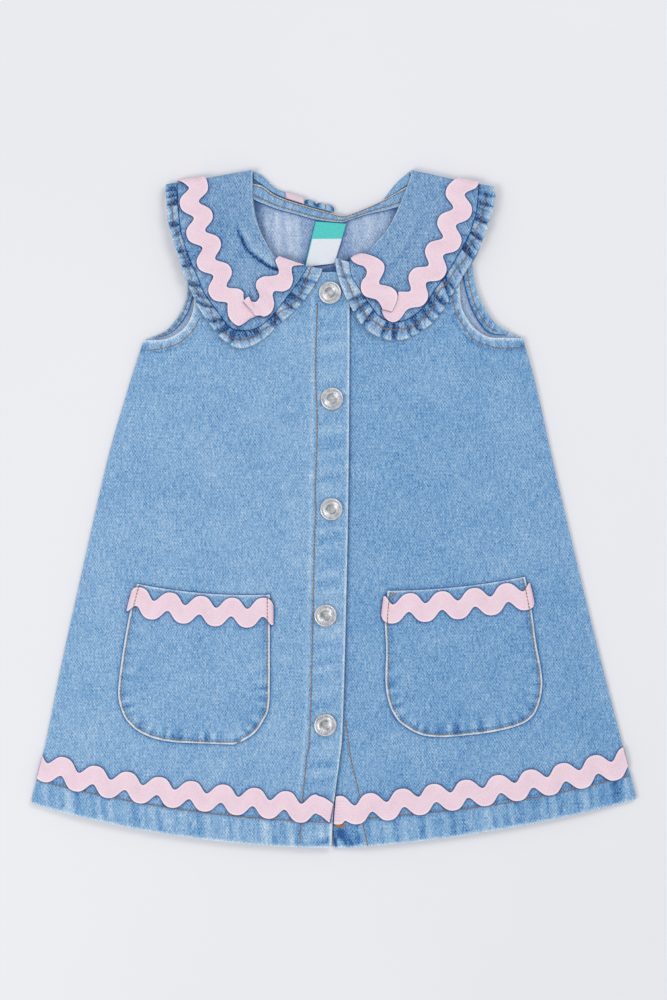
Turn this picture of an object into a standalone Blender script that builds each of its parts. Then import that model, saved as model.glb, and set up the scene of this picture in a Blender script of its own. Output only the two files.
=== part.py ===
"""A child's sleeveless denim dress, buttoned down the front and laid flat on its back.

Axes: X across the dress, Y from the hem to the neck, Z up from the surface it lies on.
"Left" and "right" are the sides as seen from above. The tables and sizes are in
millimetres, and MM turns them into Blender's metres when a mesh is made.

From the surface up, the layers are: the collar's back half, the back panel with its neck
band, label and armhole facings, the right front, the left front with the placket that
buttons over it, the pockets, and the collar's front half with its ruffle and braid.
"""

import math

import bpy
import numpy as np

MM = 0.001

# ---- Driving sizes, in millimetres ----
WALL = 1.1  # denim, one layer with its seam allowance pressed in
GAP = 0.3  # clearance between neighbouring pieces
BRAID_WALL = 1.0  # zigzag braid
LABEL_WALL = 1.0
LAYER = WALL + GAP
PLACKET_STEP = 0.5  # what the placket's folded layers add
PLACKET_WIDTH = 22.5
PLACKET_RAMP = 4.0
HEM_STEP = 0.5  # what the turned-up hem adds
HEM_DEPTH = 15.2
HEM_RAMP = 1.6
BELLY = 0.8  # how much the skirt's middle stands off its back
BELLY_END_Y = 90.0  # above here the belly is gone,
BELLY_FADE = 50.0  # and it has come down over this length
SEAM_REACH = 35.0  # how far in from a side seam the front reaches its full height
OVERLAP_START = 3.0  # this far outside the placket's edge the right front starts to rise
OVERLAP_FALL = 22.0  # how far it takes to rise
UNDERARM_Y = 110.5

# The back panel lies on the collar's back half here, and on the surface below it.
LIFT = WALL + GAP
LIFT_START_Y = 60.0
LIFT_END_Y = 126.0

# Height of the collar's underside over the lifted surface: back, right front, left front
# and placket, with a gap over each.
COLLAR_BASE = WALL + GAP + LAYER + WALL + PLACKET_STEP + GAP
FOLD_RADIUS = (LIFT + COLLAR_BASE) / 2  # the collar's turn over the shoulder, mid wall
FOLD_CENTRE_Z = FOLD_RADIUS + WALL / 2
FOLD_OUTSIDE = FOLD_RADIUS + WALL / 2

# Rows that a panel takes near the hem, by distance from the hem's edge.
HEM_ROWS = (0.0, 8.0, 14.8, 17.2)

# ---- Outlines, as (x, y) points that a smooth curve goes through ----
# Side seams, from the hem to the underarm.
SIDE_LEFT = (
    (-197.5, -191.6), (-187.8, -153.2), (-176.5, -98.0), (-163.5, -39.5),
    (-147.2, 32.0), (-133.6, 78.8), (-123.4, 110.0),
)
SIDE_RIGHT = (
    (197.5, -189.0), (188.2, -153.2), (173.9, -98.0), (159.6, -39.5),
    (142.7, 32.0), (132.3, 78.8), (123.2, 111.3),
)
# Centre-front edges, from the hem to the neck: the left one is seen, the right one is
# under it. They part below the last button.
EDGE_LEFT = (
    (-1.3, -220.2), (0.3, -192.2), (4.0, -163.0), (6.2, -137.0),
    (9.1, -26.5), (10.3, 71.0), (10.6, 154.2),
)
EDGE_RIGHT = (
    (1.0, -220.8), (-2.3, -192.2), (-6.8, -163.0), (-10.7, -137.0),
    (-11.4, -26.5), (-11.4, 71.0), (-11.4, 155.5),
)
# Armholes, from the underarm to the shoulder.
ARMHOLE_FRONT_LEFT = (
    (-123.4, 110.0), (-114.7, 110.1), (-107.6, 111.3), (-100.8, 114.8), (-95.9, 119.3),
    (-92.6, 125.6), (-90.7, 134.1), (-89.4, 155.5), (-91.3, 184.8), (-93.3, 209.4),
)
ARMHOLE_FRONT_RIGHT = (
    (123.2, 111.3), (110.8, 111.6), (102.4, 111.7), (96.2, 114.2), (90.7, 118.8),
    (86.8, 124.3), (83.3, 131.5), (82.2, 142.5), (82.2, 155.5), (84.8, 184.8),
    (88.7, 207.4),
)
ARMHOLE_BACK_LEFT = (
    (-123.4, 110.0), (-113.6, 113.9), (-108.2, 117.2), (-103.3, 122.6), (-99.1, 128.9),
    (-96.5, 135.0), (-95.2, 142.1), (-95.2, 168.5), (-93.9, 209.4),
)
ARMHOLE_BACK_RIGHT = (
    (123.2, 111.3), (111.9, 116.5), (106.5, 120.0), (102.4, 124.6), (98.2, 131.5),
    (94.9, 138.6), (92.6, 145.8), (90.7, 156.8), (89.4, 178.3), (89.4, 207.4),
)
# Neck edges of the fronts, from the centre-front edge to the shoulder.
NECK_FRONT_LEFT = (
    (10.6, 154.2), (1.0, 154.4), (-7.8, 154.4), (-21.8, 158.8), (-36.7, 162.7),
    (-43.9, 173.1), (-49.1, 185.4), (-52.0, 201.0), (-52.6, 216.0),
)
NECK_FRONT_RIGHT = (
    (-11.4, 155.5), (1.0, 158.1), (11.4, 164.0), (20.5, 166.2), (28.3, 173.7),
    (35.4, 182.2), (41.3, 193.2), (46.5, 206.2), (50.4, 216.6),
)
# Top of the back panel: left shoulder, neck, right shoulder.
TOP_BACK = (
    (-93.9, 209.4), (-73.8, 212.4), (-53.6, 214.8), (-46.5, 210.4), (-40.0, 205.6),
    (-31.8, 201.7), (-23.5, 199.1), (-15.3, 196.5), (-6.8, 193.8), (1.6, 191.8),
    (8.1, 190.9), (20.5, 195.5), (32.8, 201.3), (40.6, 205.5), (48.4, 210.4),
    (51.0, 216.0), (69.2, 212.4), (89.4, 207.4),
)
# Neck band inside the back, upper and lower edges.
BAND_UPPER = (
    (-56.2, 212.6), (-46.5, 210.4), (-40.0, 205.6), (-31.8, 201.7), (-15.3, 196.5),
    (1.6, 191.8), (8.1, 190.9), (20.5, 195.5), (32.8, 201.3), (48.4, 210.4), (53.0, 212.0),
)
BAND_LOWER = (
    (-56.2, 201.0), (-45.4, 198.4), (-36.1, 195.2), (-23.7, 191.9), (-11.4, 188.5),
    (4.2, 186.7), (8.8, 187.6), (18.5, 190.9), (26.7, 193.0), (35.0, 194.7), (48.0, 198.4),
)
LABEL_TOP = ((-11.7, 187.4), (8.5, 185.9))
LABEL_BOTTOM = ((-18.2, 160.1), (1.4, 162.7))
# Armhole facings inside the back, outer and inner edges.
FACING_LEFT_OUTER = (
    (-95.0, 165.0), (-95.0, 142.1), (-96.3, 135.0), (-98.9, 128.7), (-103.1, 122.4),
    (-108.0, 117.0), (-113.4, 113.7), (-117.5, 112.2),
)
FACING_LEFT_INNER = (
    (-91.0, 165.0), (-91.3, 142.5), (-92.9, 133.0), (-95.2, 126.9), (-98.8, 121.4),
    (-103.7, 116.2), (-109.5, 113.0), (-116.0, 111.2),
)
FACING_RIGHT_OUTER = (
    (89.3, 180.0), (90.5, 156.8), (92.4, 145.8), (94.7, 138.6), (98.0, 131.5),
    (102.2, 124.4), (106.3, 119.8), (113.2, 115.4),
)
FACING_RIGHT_INNER = (
    (83.4, 180.0), (83.9, 156.8), (85.8, 142.8), (88.7, 132.8), (92.4, 125.0),
    (97.4, 117.8), (103.0, 113.9), (112.8, 113.2),
)

# ---- Collar: neck edge, outer seam and the ruffle's outer edge, front tip to shoulder ----
COLLAR_LEFT = {
    "neck": (
        (-17.9, 158.1), (-28.3, 160.1), (-37.4, 163.3), (-44.5, 174.4), (-49.7, 186.1),
        (-52.6, 201.0), (-52.6, 216.6),
    ),
    "seam": (
        (-15.9, 155.8), (-21.8, 149.7), (-32.2, 135.4), (-41.9, 123.7), (-49.7, 117.8),
        (-57.5, 116.2), (-66.6, 117.8), (-75.7, 128.9), (-83.5, 139.9), (-88.7, 151.9),
        (-93.3, 162.3), (-98.5, 178.3), (-100.8, 194.5), (-101.4, 209.5),
    ),
    "edge": (
        (-7.8, 154.2), (-11.6, 146.4), (-22.8, 131.2), (-34.1, 121.1), (-43.6, 112.0),
        (-51.7, 106.8), (-60.8, 104.8), (-69.9, 108.7), (-79.6, 119.4), (-87.4, 130.8),
        (-93.9, 144.5), (-98.5, 156.8), (-103.0, 170.5), (-106.6, 183.7),
        (-108.2, 197.1), (-108.9, 208.2),
    ),
    # Where the collar turns over the shoulder, at its outermost.
    "fold": ((-108.9, 211.4), (-85.5, 214.9), (-52.3, 220.8)),
    "back_scale": 1.0,
}
COLLAR_RIGHT = {
    "neck": (
        (11.4, 163.0), (20.5, 165.3), (27.6, 173.1), (35.4, 182.5), (41.3, 193.9),
        (46.5, 206.2), (50.4, 217.4),
    ),
    "seam": (
        (10.4, 160.7), (11.6, 152.3), (15.0, 146.2), (22.4, 134.7), (30.2, 125.0),
        (37.4, 122.0), (45.8, 122.4), (53.6, 126.9), (60.1, 133.4), (65.3, 141.9),
        (71.7, 150.3), (78.8, 161.6), (87.2, 176.3), (90.9, 186.5), (93.0, 194.8),
        (94.2, 207.5),
    ),
    "edge": (
        (0.8, 163.0), (2.9, 151.2), (6.4, 141.6), (11.0, 132.0), (18.7, 119.8),
        (27.6, 112.9), (36.5, 110.0), (43.9, 110.0), (52.3, 112.9), (63.4, 120.4),
        (71.2, 129.5), (78.7, 142.5), (86.1, 154.9), (94.2, 168.5), (99.1, 180.2),
        (102.4, 190.6), (105.0, 203.0), (104.2, 206.5),
    ),
    "fold": ((50.0, 220.9), (82.2, 213.8), (105.0, 209.8)),
    "back_scale": -0.93,
}
# Under the back panel, for the left half: from the shoulder to the centre back.
BACK_NECK = ((-52.6, 209.5), (-45.0, 205.0), (-31.0, 198.0), (-20.0, 193.8), (-14.0, 191.8))
BACK_SEAM = (
    (-101.4, 208.0), (-100.0, 190.0), (-93.0, 170.0), (-80.0, 153.0), (-62.0, 143.0),
    (-42.0, 139.5), (-24.0, 143.0), (-14.0, 153.0), (-11.0, 170.0), (-11.0, 189.5),
)
BACK_EDGE = (
    (-108.9, 206.5), (-108.0, 188.0), (-100.5, 165.5), (-85.5, 146.5), (-65.0, 135.0),
    (-42.0, 131.0), (-19.0, 135.0), (-5.5, 148.5), (-2.0, 169.0), (-2.0, 189.5),
)
# The collar's roll behind the neck: seam side and outer side, shoulder to centre back.
ROLL_LEFT_SEAM = (
    (-51.0, 214.3), (-46.2, 211.1), (-39.7, 206.4), (-31.5, 202.6), (-15.2, 197.4),
    (0.3, 193.0),
)
ROLL_LEFT_EDGE = (
    (-51.0, 220.0), (-46.5, 217.3), (-37.4, 208.9), (-28.5, 205.9), (-11.4, 200.4),
    (0.3, 198.0),
)
ROLL_RIGHT_SEAM = ((48.2, 211.2), (39.6, 205.6), (33.5, 202.3))
ROLL_RIGHT_EDGE = ((48.2, 219.2), (41.3, 212.9), (33.4, 203.0))
# How high the roll stands: (share of its width from the seam, height).
ROLL_PROFILE = ((0.0, 3.2), (0.4, 3.4), (0.8, 2.7), (1.0, 1.2))
ROLL_END_LEFT = 0.60  # share where the plain roll gives way to the ruffle's end
ROLL_END_GAP = 0.01  # share left free between the two
RUFFLE_END_RISE = 0.4  # how much thicker the ruffle's end is
ROLL_BRAID = (0.42, 0.585)  # shares that the braid covers

# ---- Ruffle ----
SEAM_GAP = 0.6  # between the collar's seam and the ruffle
RUFFLE_WAVES = 25  # gathers on each half's front
RUFFLE_ROWS_PER_WAVE = 5
RUFFLE_HEIGHT = 1.7  # wave height at the free edge, crest to hollow
RUFFLE_STITCH = 0.55  # share of the width where the topstitching holds it
RUFFLE_STITCH_WAVE = 0.3  # share of the wave that is left there
RUFFLE_UNEVEN = 0.25  # how much the waves' heights differ
RUFFLE_UNEVEN_TURN = 0.37  # how fast the height changes from wave to wave
RUFFLE_FADE = 0.08  # share of the length over which they die away at the shoulder

# ---- Pockets: sides from the top corner down, and the sag of the top edge ----
POCKET_LEFT = {
    "sides": (
        (
            (-127.7, -48.3), (-131.6, -63.5), (-135.2, -81.7), (-138.5, -103.2),
            (-140.0, -120.7), (-137.0, -132.6), (-132.5, -139.5), (-125.3, -145.2),
            (-114.7, -149.4), (-101.7, -151.5),
        ),
        (
            (-41.3, -55.4), (-41.3, -72.6), (-41.3, -90.8), (-41.3, -111.6),
            (-41.9, -128.3), (-44.9, -136.3), (-50.6, -144.8), (-58.2, -150.2),
            (-65.3, -152.9),
        ),
    ),
    "sag": 2.7,
    "first_crest": 3.2,
    "pitch": 20.5,
}
POCKET_RIGHT = {
    "sides": (
        (
            (35.1, -52.9), (33.3, -71.1), (34.1, -90.8), (33.7, -111.6), (35.4, -124.0),
            (38.7, -132.4), (43.6, -138.9), (52.7, -144.8), (61.0, -147.4), (73.5, -148.0),
        ),
        (
            (124.5, -43.8), (128.4, -62.2), (131.6, -86.0), (135.2, -105.8),
            (135.5, -117.5), (132.3, -129.8), (127.3, -136.6), (119.0, -140.9),
            (106.6, -144.1), (93.9, -146.1),
        ),
    ),
    "sag": 2.2,
    "first_crest": 14.5,
    "pitch": 21.4,
}

# ---- Zigzag braid ----
BRAID_INNER = 2.3  # a hollow's distance from the braid's middle line
BRAID_DEPTH = 6.7  # how much further out a crest is
CREST_BREADTH = 0.455  # 0 for a plain sine, more for broad crests and narrow hollows
BRAID_ROWS_PER_WAVE = 8
BRAID_ON_POCKET = 11.7  # middle line below a pocket's top edge
# On the hem, from the side seam: the middle line as (distance along, height over the edge).
# The stretch of the right one that the left front would hide is left out.
HEM_BRAID = {
    "left": {
        "line": ((0.0, 26.0), (30.0, 25.8), (60.0, 27.2), (110.0, 28.8), (150.0, 28.0), (193.0, 24.4)),
        "first_crest": 14.6, "pitch": 20.9, "hidden": 0.0,
    },
    "right": {
        "line": ((0.0, 25.6), (40.0, 26.0), (85.0, 27.2), (130.0, 27.7), (160.0, 26.0), (196.0, 24.3)),
        "first_crest": 20.2, "pitch": 21.26, "hidden": 4.8,
    },
}
# On the collar, each half has a run down its outer side and one up to the neck, lapped
# over the first at the corner. Middle lines in the collar's plane before it is folded.
COLLAR_BRAID = {
    "left_side": {
        "route": (
            (-92.4, 216.2), (-91.4, 210.5), (-89.8, 198.4), (-85.8, 180.2), (-79.6, 162.7),
            (-71.5, 143.2), (-63.4, 130.2), (-59.5, 121.5),
        ),
        "first_crest": 7.5, "pitch": 19.6, "round_end": 5.5, "lap": 0.0,
    },
    "left_front": {
        "route": (
            (-56.9, 127.6), (-49.1, 134.1), (-42.6, 140.6), (-36.1, 149.0), (-31.5, 156.0),
            (-29.0, 160.5),
        ),
        "first_crest": 20.0, "pitch": 21.5, "round_end": 0.0, "lap": 1.0,
    },
    "right_side": {
        "route": (
            (85.4, 215.4), (83.4, 209.0), (80.9, 197.4), (74.1, 177.0), (65.3, 159.4),
            (54.3, 143.2), (45.2, 132.0), (38.5, 122.5),
        ),
        "first_crest": 0.9, "pitch": 20.6, "round_end": 5.5, "lap": 0.0,
    },
    "right_front": {
        "route": ((36.7, 130.8), (33.5, 138.0), (26.0, 150.0), (21.1, 156.6), (16.8, 161.5)),
        "first_crest": 0.0, "pitch": 19.8, "round_end": 0.0, "lap": 1.0,
    },
}
ROUND_END_SHARE = 0.96  # a rounded end stops here, so that it keeps some width
LAP_LENGTH = 8.0  # how far the second run lies on the first
LAP_FALL = 8.0  # how far it takes to come down
BRAID_ON_FOLD = 3 * FOLD_RADIUS  # how much of the first run goes over the shoulder
FOLD_EASE = 0.2  # how much further off the collar it stands there

# ---- Buttons: middles, and the turned profile as (radius, height) from the rim's foot ----
BUTTONS = ((-2.3, 140.6), (-1.0, 71.7), (-1.4, 0.0), (-5.2, -69.1), (-5.3, -140.2))
BUTTON_PROFILE = (
    (6.4, 0.0), (7.3, 0.5), (7.3, 1.2), (6.7, 1.8), (4.7, 2.1), (4.1, 1.7), (3.4, 2.1),
    (2.0, 1.6),
)
BUTTON_MIDDLE = 1.4
BUTTON_SIDES = 16

# ---- Finishes: base colour, roughness, metallic ----
FINISHES = {
    "denim": ((0.21, 0.37, 0.61), 0.85, 0.0),
    "denim_inside": ((0.42, 0.50, 0.66), 0.88, 0.0),
    "braid": ((0.84, 0.66, 0.74), 0.75, 0.0),
    "label": ((0.80, 0.84, 0.87), 0.6, 0.0),
    "button_metal": ((0.62, 0.61, 0.60), 0.32, 1.0),
}


def smooth(share):
    """0 below 0, 1 above 1, and a soft step between them."""
    share = min(max(share, 0.0), 1.0)
    return share * share * (3 - 2 * share)


def mix(first, second, share):
    return first + (second - first) * share


class Route:
    """A smooth curve through a few points, read by the distance along it."""

    STEPS = 10

    def __init__(self, points):
        knots = np.array(points, float)
        ends = np.vstack([2 * knots[0] - knots[1], knots, 2 * knots[-1] - knots[-2]])
        t = np.arange(self.STEPS)[:, None] / self.STEPS
        pieces = [
            b + ((c - a) * t + (2 * a - 5 * b + 4 * c - d) * t**2 + (3 * (b - c) + d - a) * t**3) / 2
            for a, b, c, d in zip(ends, ends[1:], ends[2:], ends[3:])
        ]
        self.points = np.vstack([*pieces, knots[-1:]])
        lengths = np.hypot(*np.diff(self.points, axis=0).T)
        self.along = np.concatenate([[0.0], np.cumsum(lengths)])
        self.length = self.along[-1]

    def at(self, distance):
        x, y = (np.interp(distance, self.along, self.points[:, axis]) for axis in (0, 1))
        return np.array([x, y])

    def share(self, share):
        return self.at(share * self.length)

    def normal(self, distance, reach=2.0):
        """Unit vector to the left of the way the curve runs."""
        ahead = self.at(distance + reach) - self.at(distance - reach)
        return np.array([-ahead[1], ahead[0]]) / np.hypot(*ahead)

    def x_at(self, y):
        """x where the curve is at height y; for curves that only climb."""
        return np.interp(y, self.points[:, 1], self.points[:, 0])

    def y_at(self, x):
        """Height of the curve at x; for curves that only run to the right."""
        return np.interp(x, self.points[:, 0], self.points[:, 1])


class Patch:
    """The cloth between two edges: straight rows across, let down in the middle by a sag."""

    def __init__(self, outer, inner, sag_start, sag_end):
        self.outer = Route(outer)
        self.inner = Route(inner)
        self.sags = (sag_start, sag_end)
        self.length = (self.outer.length + self.inner.length) / 2

    def across(self, outer, inner, share, along):
        x, y = mix(outer, inner, share)
        return np.array([x, y - mix(*self.sags, along) * 4 * share * (1 - share)])

    def by_share(self, share, along):
        return self.across(self.outer.share(along), self.inner.share(along), share, along)

    def by_distance(self, share, distance):
        outer, inner = self.outer.at(distance), self.inner.at(distance)
        return self.across(outer, inner, share, distance / self.length)

    def width(self, distance):
        return np.hypot(*(self.outer.at(distance) - self.inner.at(distance)))


SIDES = {"left": Route(SIDE_LEFT), "right": Route(SIDE_RIGHT)}
OVERLAP = Route(EDGE_LEFT)
HEM_SAG = {"left": 6.8, "right": 4.9}
UNDERARM_SAG = 19.5
SKIRTS = {
    "left": Patch(SIDE_LEFT, EDGE_LEFT, HEM_SAG["left"], UNDERARM_SAG),
    "right": Patch(SIDE_RIGHT, EDGE_RIGHT, HEM_SAG["right"], UNDERARM_SAG),
}
YOKES = {
    "left": Patch(ARMHOLE_FRONT_LEFT, NECK_FRONT_LEFT, UNDERARM_SAG, 0.0),
    "right": Patch(ARMHOLE_FRONT_RIGHT, NECK_FRONT_RIGHT, UNDERARM_SAG, 0.0),
}
# Shares of the armhole and neck where a yoke has rows, close together round the curve.
YOKE_ROWS = (0.06, 0.12, 0.18, 0.24, 0.31, 0.42, 0.60, 0.80, 1.0)


# ---- Heights ----
def lift(y):
    """The back panel's underside."""
    return LIFT * smooth((y - LIFT_START_Y) / (LIFT_END_Y - LIFT_START_Y))


def back_top(x, y):
    return lift(y) + WALL


def hem_y(x):
    """The hem's edge, from the two fronts' first rows."""
    side = "left" if x < EDGE_LEFT[0][0] else "right"
    outer, inner = SKIRTS[side].outer.at(0), SKIRTS[side].inner.at(0)
    share = min(max((x - outer[0]) / (inner[0] - outer[0]), 0.0), 1.0)
    return SKIRTS[side].across(outer, inner, share, 0.0)[1]


def front_low(x, y, side):
    """The underside of a front, over the back panel and, for the left, the right front."""
    seam_x = SIDES[side].x_at(min(y, UNDERARM_Y))
    inward = max(abs(seam_x) - abs(x), 0.0) if x * seam_x > 0 else abs(seam_x)
    away = math.hypot(inward, max(y - UNDERARM_Y, 0.0))
    belly = BELLY * smooth(away / (2 * SEAM_REACH)) * smooth((BELLY_END_Y - y) / BELLY_FADE)
    rise = LAYER * smooth(away / SEAM_REACH) + belly
    if side == "right":
        rise *= smooth((x - OVERLAP.x_at(y) - OVERLAP_START) / OVERLAP_FALL)
    return back_top(x, y) + GAP + rise


def front_top(x, y, side):
    height = front_low(x, y, side) + WALL
    height += HEM_STEP * smooth((HEM_DEPTH + HEM_RAMP - (y - hem_y(x))) / HEM_RAMP)
    if side == "left":
        inside = PLACKET_WIDTH + PLACKET_RAMP - (OVERLAP.x_at(y) - x)
        height += PLACKET_STEP * smooth(inside / PLACKET_RAMP)
    return height


# ---- Making meshes ----
def finish(name):
    material = bpy.data.materials.get(name)
    if material is None:
        colour, roughness, metallic = FINISHES[name]
        material = bpy.data.materials.new(name)
        material.use_nodes = True
        shader = material.node_tree.nodes["Principled BSDF"]
        shader.inputs["Base Color"].default_value = (*colour, 1.0)
        shader.inputs["Roughness"].default_value = roughness
        shader.inputs["Metallic"].default_value = metallic
    return material


def add_object(name, points, faces, material):
    mesh = bpy.data.meshes.new(name)
    mesh.from_pydata([[c * MM for c in point] for point in points], [], faces)
    mesh.validate()
    mesh.shade_smooth()
    mesh.set_sharp_from_angle(angle=math.radians(40))
    mesh.materials.append(finish(material))
    obj = bpy.data.objects.new(name, mesh)
    bpy.context.scene.collection.objects.link(obj)
    return obj


def closed_sheet(name, upper, lower, material):
    """A closed wall between two grids of 3-D points with the same rows and columns."""
    rows, columns = len(upper), len(upper[0])
    points = [p for grid in (upper, lower) for row in grid for p in row]
    below = rows * columns

    def quad(row, column):
        first = row * columns + column
        return [first, first + 1, first + columns + 1, first + columns]

    cells = [quad(r, c) for r in range(rows - 1) for c in range(columns - 1)]
    rim = (
        list(range(columns))
        + [r * columns + columns - 1 for r in range(1, rows)]
        + [(rows - 1) * columns + c for c in range(columns - 2, -1, -1)]
        + [r * columns for r in range(rows - 2, 0, -1)]
    )
    faces = cells + [[below + i for i in reversed(cell)] for cell in cells]
    faces += [[b, a, below + a, below + b] for a, b in zip(rim, rim[1:] + rim[:1])]
    points = np.array(points)
    if signed_volume(points, faces) < 0:
        faces = [face[::-1] for face in faces]
    return add_object(name, points, faces, material)


def signed_volume(points, faces):
    total = 0.0
    for face in faces:
        for second, third in zip(face[1:], face[2:]):
            total += np.dot(points[face[0]], np.cross(points[second], points[third]))
    return total


def slab(name, grid, low, high, material):
    """A wall over a grid of (x, y) points, between two height functions."""
    upper = [[(x, y, high(x, y)) for x, y in row] for row in grid]
    lower = [[(x, y, low(x, y)) for x, y in row] for row in grid]
    return closed_sheet(name, upper, lower, material)


def ladder(first, second, rows, columns):
    """A grid of (x, y) between two routes, with the same share of each in a row."""
    first, second = Route(first), Route(second)
    return [
        [mix(first.share(s), second.share(s), c / columns) for c in range(columns + 1)]
        for s in np.linspace(0, 1, rows + 1)
    ]


# ---- Panels ----
SKIRT_ROWS = 13
# Columns from the side seam to the first station, close together where the front rises.
SKIRT_COLUMNS = (0.0, 0.06, 0.13, 0.21, 0.32, 0.48, 0.65, 0.82)
FRONT_STATIONS = {  # distances from the centre-front edge that every row has a column at
    "left": (PLACKET_WIDTH + PLACKET_RAMP, PLACKET_WIDTH, PLACKET_WIDTH / 2, 0.0),
    "right": (26.0, 12.0, 0.0),
}


def front_shares(side, width):
    stations = FRONT_STATIONS[side]
    last = 1 - stations[0] / width
    return [last * c for c in SKIRT_COLUMNS] + [1 - station / width for station in stations]


def front_grid(side):
    skirt, yoke = SKIRTS[side], YOKES[side]
    grid = [
        [skirt.by_distance(s, d) for s in front_shares(side, skirt.width(d))]
        for d in HEM_ROWS
    ]
    start = HEM_ROWS[-1] / skirt.length
    for along in np.linspace(start, 1, SKIRT_ROWS + 1)[1:]:
        width = np.hypot(*(skirt.outer.share(along) - skirt.inner.share(along)))
        grid.append([skirt.by_share(s, along) for s in front_shares(side, width)])
    for along in YOKE_ROWS:
        width = np.hypot(*(yoke.outer.share(along) - yoke.inner.share(along)))
        grid.append([yoke.by_share(s, along) for s in front_shares(side, width)])
    return grid


def make_front(side):
    slab(
        f"front_{side}",
        front_grid(side),
        lambda x, y: front_low(x, y, side),
        lambda x, y: front_top(x, y, side),
        "denim",
    )


BACK_HEM_INSET = 0.6
BACK_UNDERARM_SAG = 8.0
BACK_SKIRT_ROWS = 12


def make_back():
    """The skirt's rows take the hem's shape and the yoke's rows take the neck's."""
    left, right = SIDES["left"], SIDES["right"]
    arm_left, arm_right = Route(ARMHOLE_BACK_LEFT), Route(ARMHOLE_BACK_RIGHT)
    neck_x, neck_y = np.array(TOP_BACK).T
    shares = (neck_x - neck_x[0]) / (neck_x[-1] - neck_x[0])

    def row(start, end, drop):
        return [mix(start, end, s) + np.array([0.0, drop(s)]) for s in shares]

    def hem_drop(s):
        x, y = mix(left.at(0), right.at(0), s)
        ends = BACK_HEM_INSET * (1 if 0 < s < 1 else 0)
        return hem_y(x) - y + ends

    def underarm_drop(s):
        return -BACK_UNDERARM_SAG * 4 * s * (1 - s)

    def neck_drop(s):
        x, y = mix(arm_left.share(1), arm_right.share(1), s)
        return np.interp(x, neck_x, neck_y) - y

    grid = [
        row(left.share(a), right.share(a), lambda s, a=a: mix(hem_drop(s), underarm_drop(s), a))
        for a in np.linspace(0, 1, BACK_SKIRT_ROWS + 1)
    ]
    grid += [
        row(
            arm_left.share(a),
            arm_right.share(a),
            lambda s, a=a: mix(underarm_drop(s), neck_drop(s), a),
        )
        for a in YOKE_ROWS
    ]
    slab("back_panel", grid, lambda x, y: lift(y), back_top, "denim")


# ---- What lies on the back panel's inside ----
def on_back(name, first, second, rows, columns, wall, material):
    slab(
        name,
        ladder(first, second, rows, columns),
        lambda x, y: back_top(x, y) + GAP,
        lambda x, y: back_top(x, y) + GAP + wall,
        material,
    )


def make_inside():
    on_back("neck_band", BAND_UPPER, BAND_LOWER, 16, 2, WALL, "denim")
    on_back("neck_label", LABEL_TOP, LABEL_BOTTOM, 4, 4, LABEL_WALL, "label")
    facings = (
        ("left", FACING_LEFT_OUTER, FACING_LEFT_INNER),
        ("right", FACING_RIGHT_OUTER, FACING_RIGHT_INNER),
    )
    for side, outer, inner in facings:
        on_back(f"armhole_facing_{side}", outer, inner, 12, 1, WALL, "denim_inside")


# ---- Collar ----
FOLD_ROWS = 6


class Collar:
    """One half of the collar: flat on the front, round the shoulder, flat under the back."""

    def __init__(self, table):
        self.neck, self.seam, self.edge = (Route(table[k]) for k in ("neck", "seam", "edge"))
        self.fold_x, self.fold_y = np.array(table["fold"]).T
        scale = table["back_scale"]
        self.back = [
            Route([(abs(scale) * x if scale > 0 else scale * x, y) for x, y in points])
            for points in (BACK_NECK, BACK_SEAM, BACK_EDGE)
        ]

    def turn_y(self, x):
        """Where the wall starts to turn over the shoulder."""
        return np.interp(x, self.fold_x, self.fold_y) - FOLD_OUTSIDE

    def lay(self, x, y, out):
        """A point of the collar before folding, put in place, out from the mid wall."""
        turn_y = self.turn_y(x)
        if y <= turn_y:
            return (x, y, lift(y) + COLLAR_BASE + WALL / 2 + out)
        angle = (y - turn_y) / FOLD_RADIUS
        radius = FOLD_RADIUS + out
        return (x, turn_y + radius * math.sin(angle), FOLD_CENTRE_Z + radius * math.cos(angle))

    @staticmethod
    def lay_back(x, y, out):
        """A point of the half that lies under the back panel."""
        return (x, y, WALL / 2 - out)

    def sheet(self, name, first, second, steps, cells, wave, material):
        """A closed strip from the front tip to the centre back between two of the lines.

        first and second give the (front route, back route) of each long edge, steps are the
        front part's rows, and wave(share along, share across) is how far it stands out."""
        (front_a, back_a), (front_b, back_b) = first, second
        across = [c / cells for c in range(cells + 1)]
        upper, lower = [], []

        def add(row):
            upper.append([place(WALL / 2) for place in row])
            lower.append([place(-WALL / 2) for place in row])

        for along in steps[:-1]:
            row = []
            for c in across:
                x, y = mix(front_a(along), front_b(along), c)
                stand = wave(along, c)
                row.append(lambda out, x=x, y=y, stand=stand: self.lay(x, y, out + stand))
            add(row)
        ends = [mix(front_a(1.0), front_b(1.0), c)[0] for c in across]
        for k in range(FOLD_ROWS + 1):
            turned = FOLD_RADIUS * math.pi * k / FOLD_ROWS
            add([
                lambda out, x=x, turned=turned: self.lay(x, self.turn_y(x) + turned, out)
                for x in ends
            ])
        for along in BACK_ROWS:
            row = []
            for c in across:
                x, y = mix(back_a(along), back_b(along), c)
                row.append(lambda out, x=x, y=y: self.lay_back(x, y, out))
            add(row)
        return closed_sheet(name, upper, lower, material)


COLLAR_ROWS = 15
COLLAR_CELLS = 5
RUFFLE_CELLS = 2
BACK_ROWS = tuple(np.linspace(0, 1, 10))


def gather(along, across):
    """The ruffle's waves, uneven in height, held at the seam and by the topstitching. They
    die away where the ruffle reaches the shoulder."""
    phase = 2 * math.pi * RUFFLE_WAVES * along
    uneven = 1 - RUFFLE_UNEVEN * (1 + math.sin(RUFFLE_UNEVEN_TURN * phase))
    held = np.interp(across, (0, RUFFLE_STITCH, 1), (0, RUFFLE_STITCH_WAVE, 1))
    fade = smooth((1 - along) / RUFFLE_FADE)
    return RUFFLE_HEIGHT / 2 * held * fade * (1 + uneven * math.sin(phase))


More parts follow.
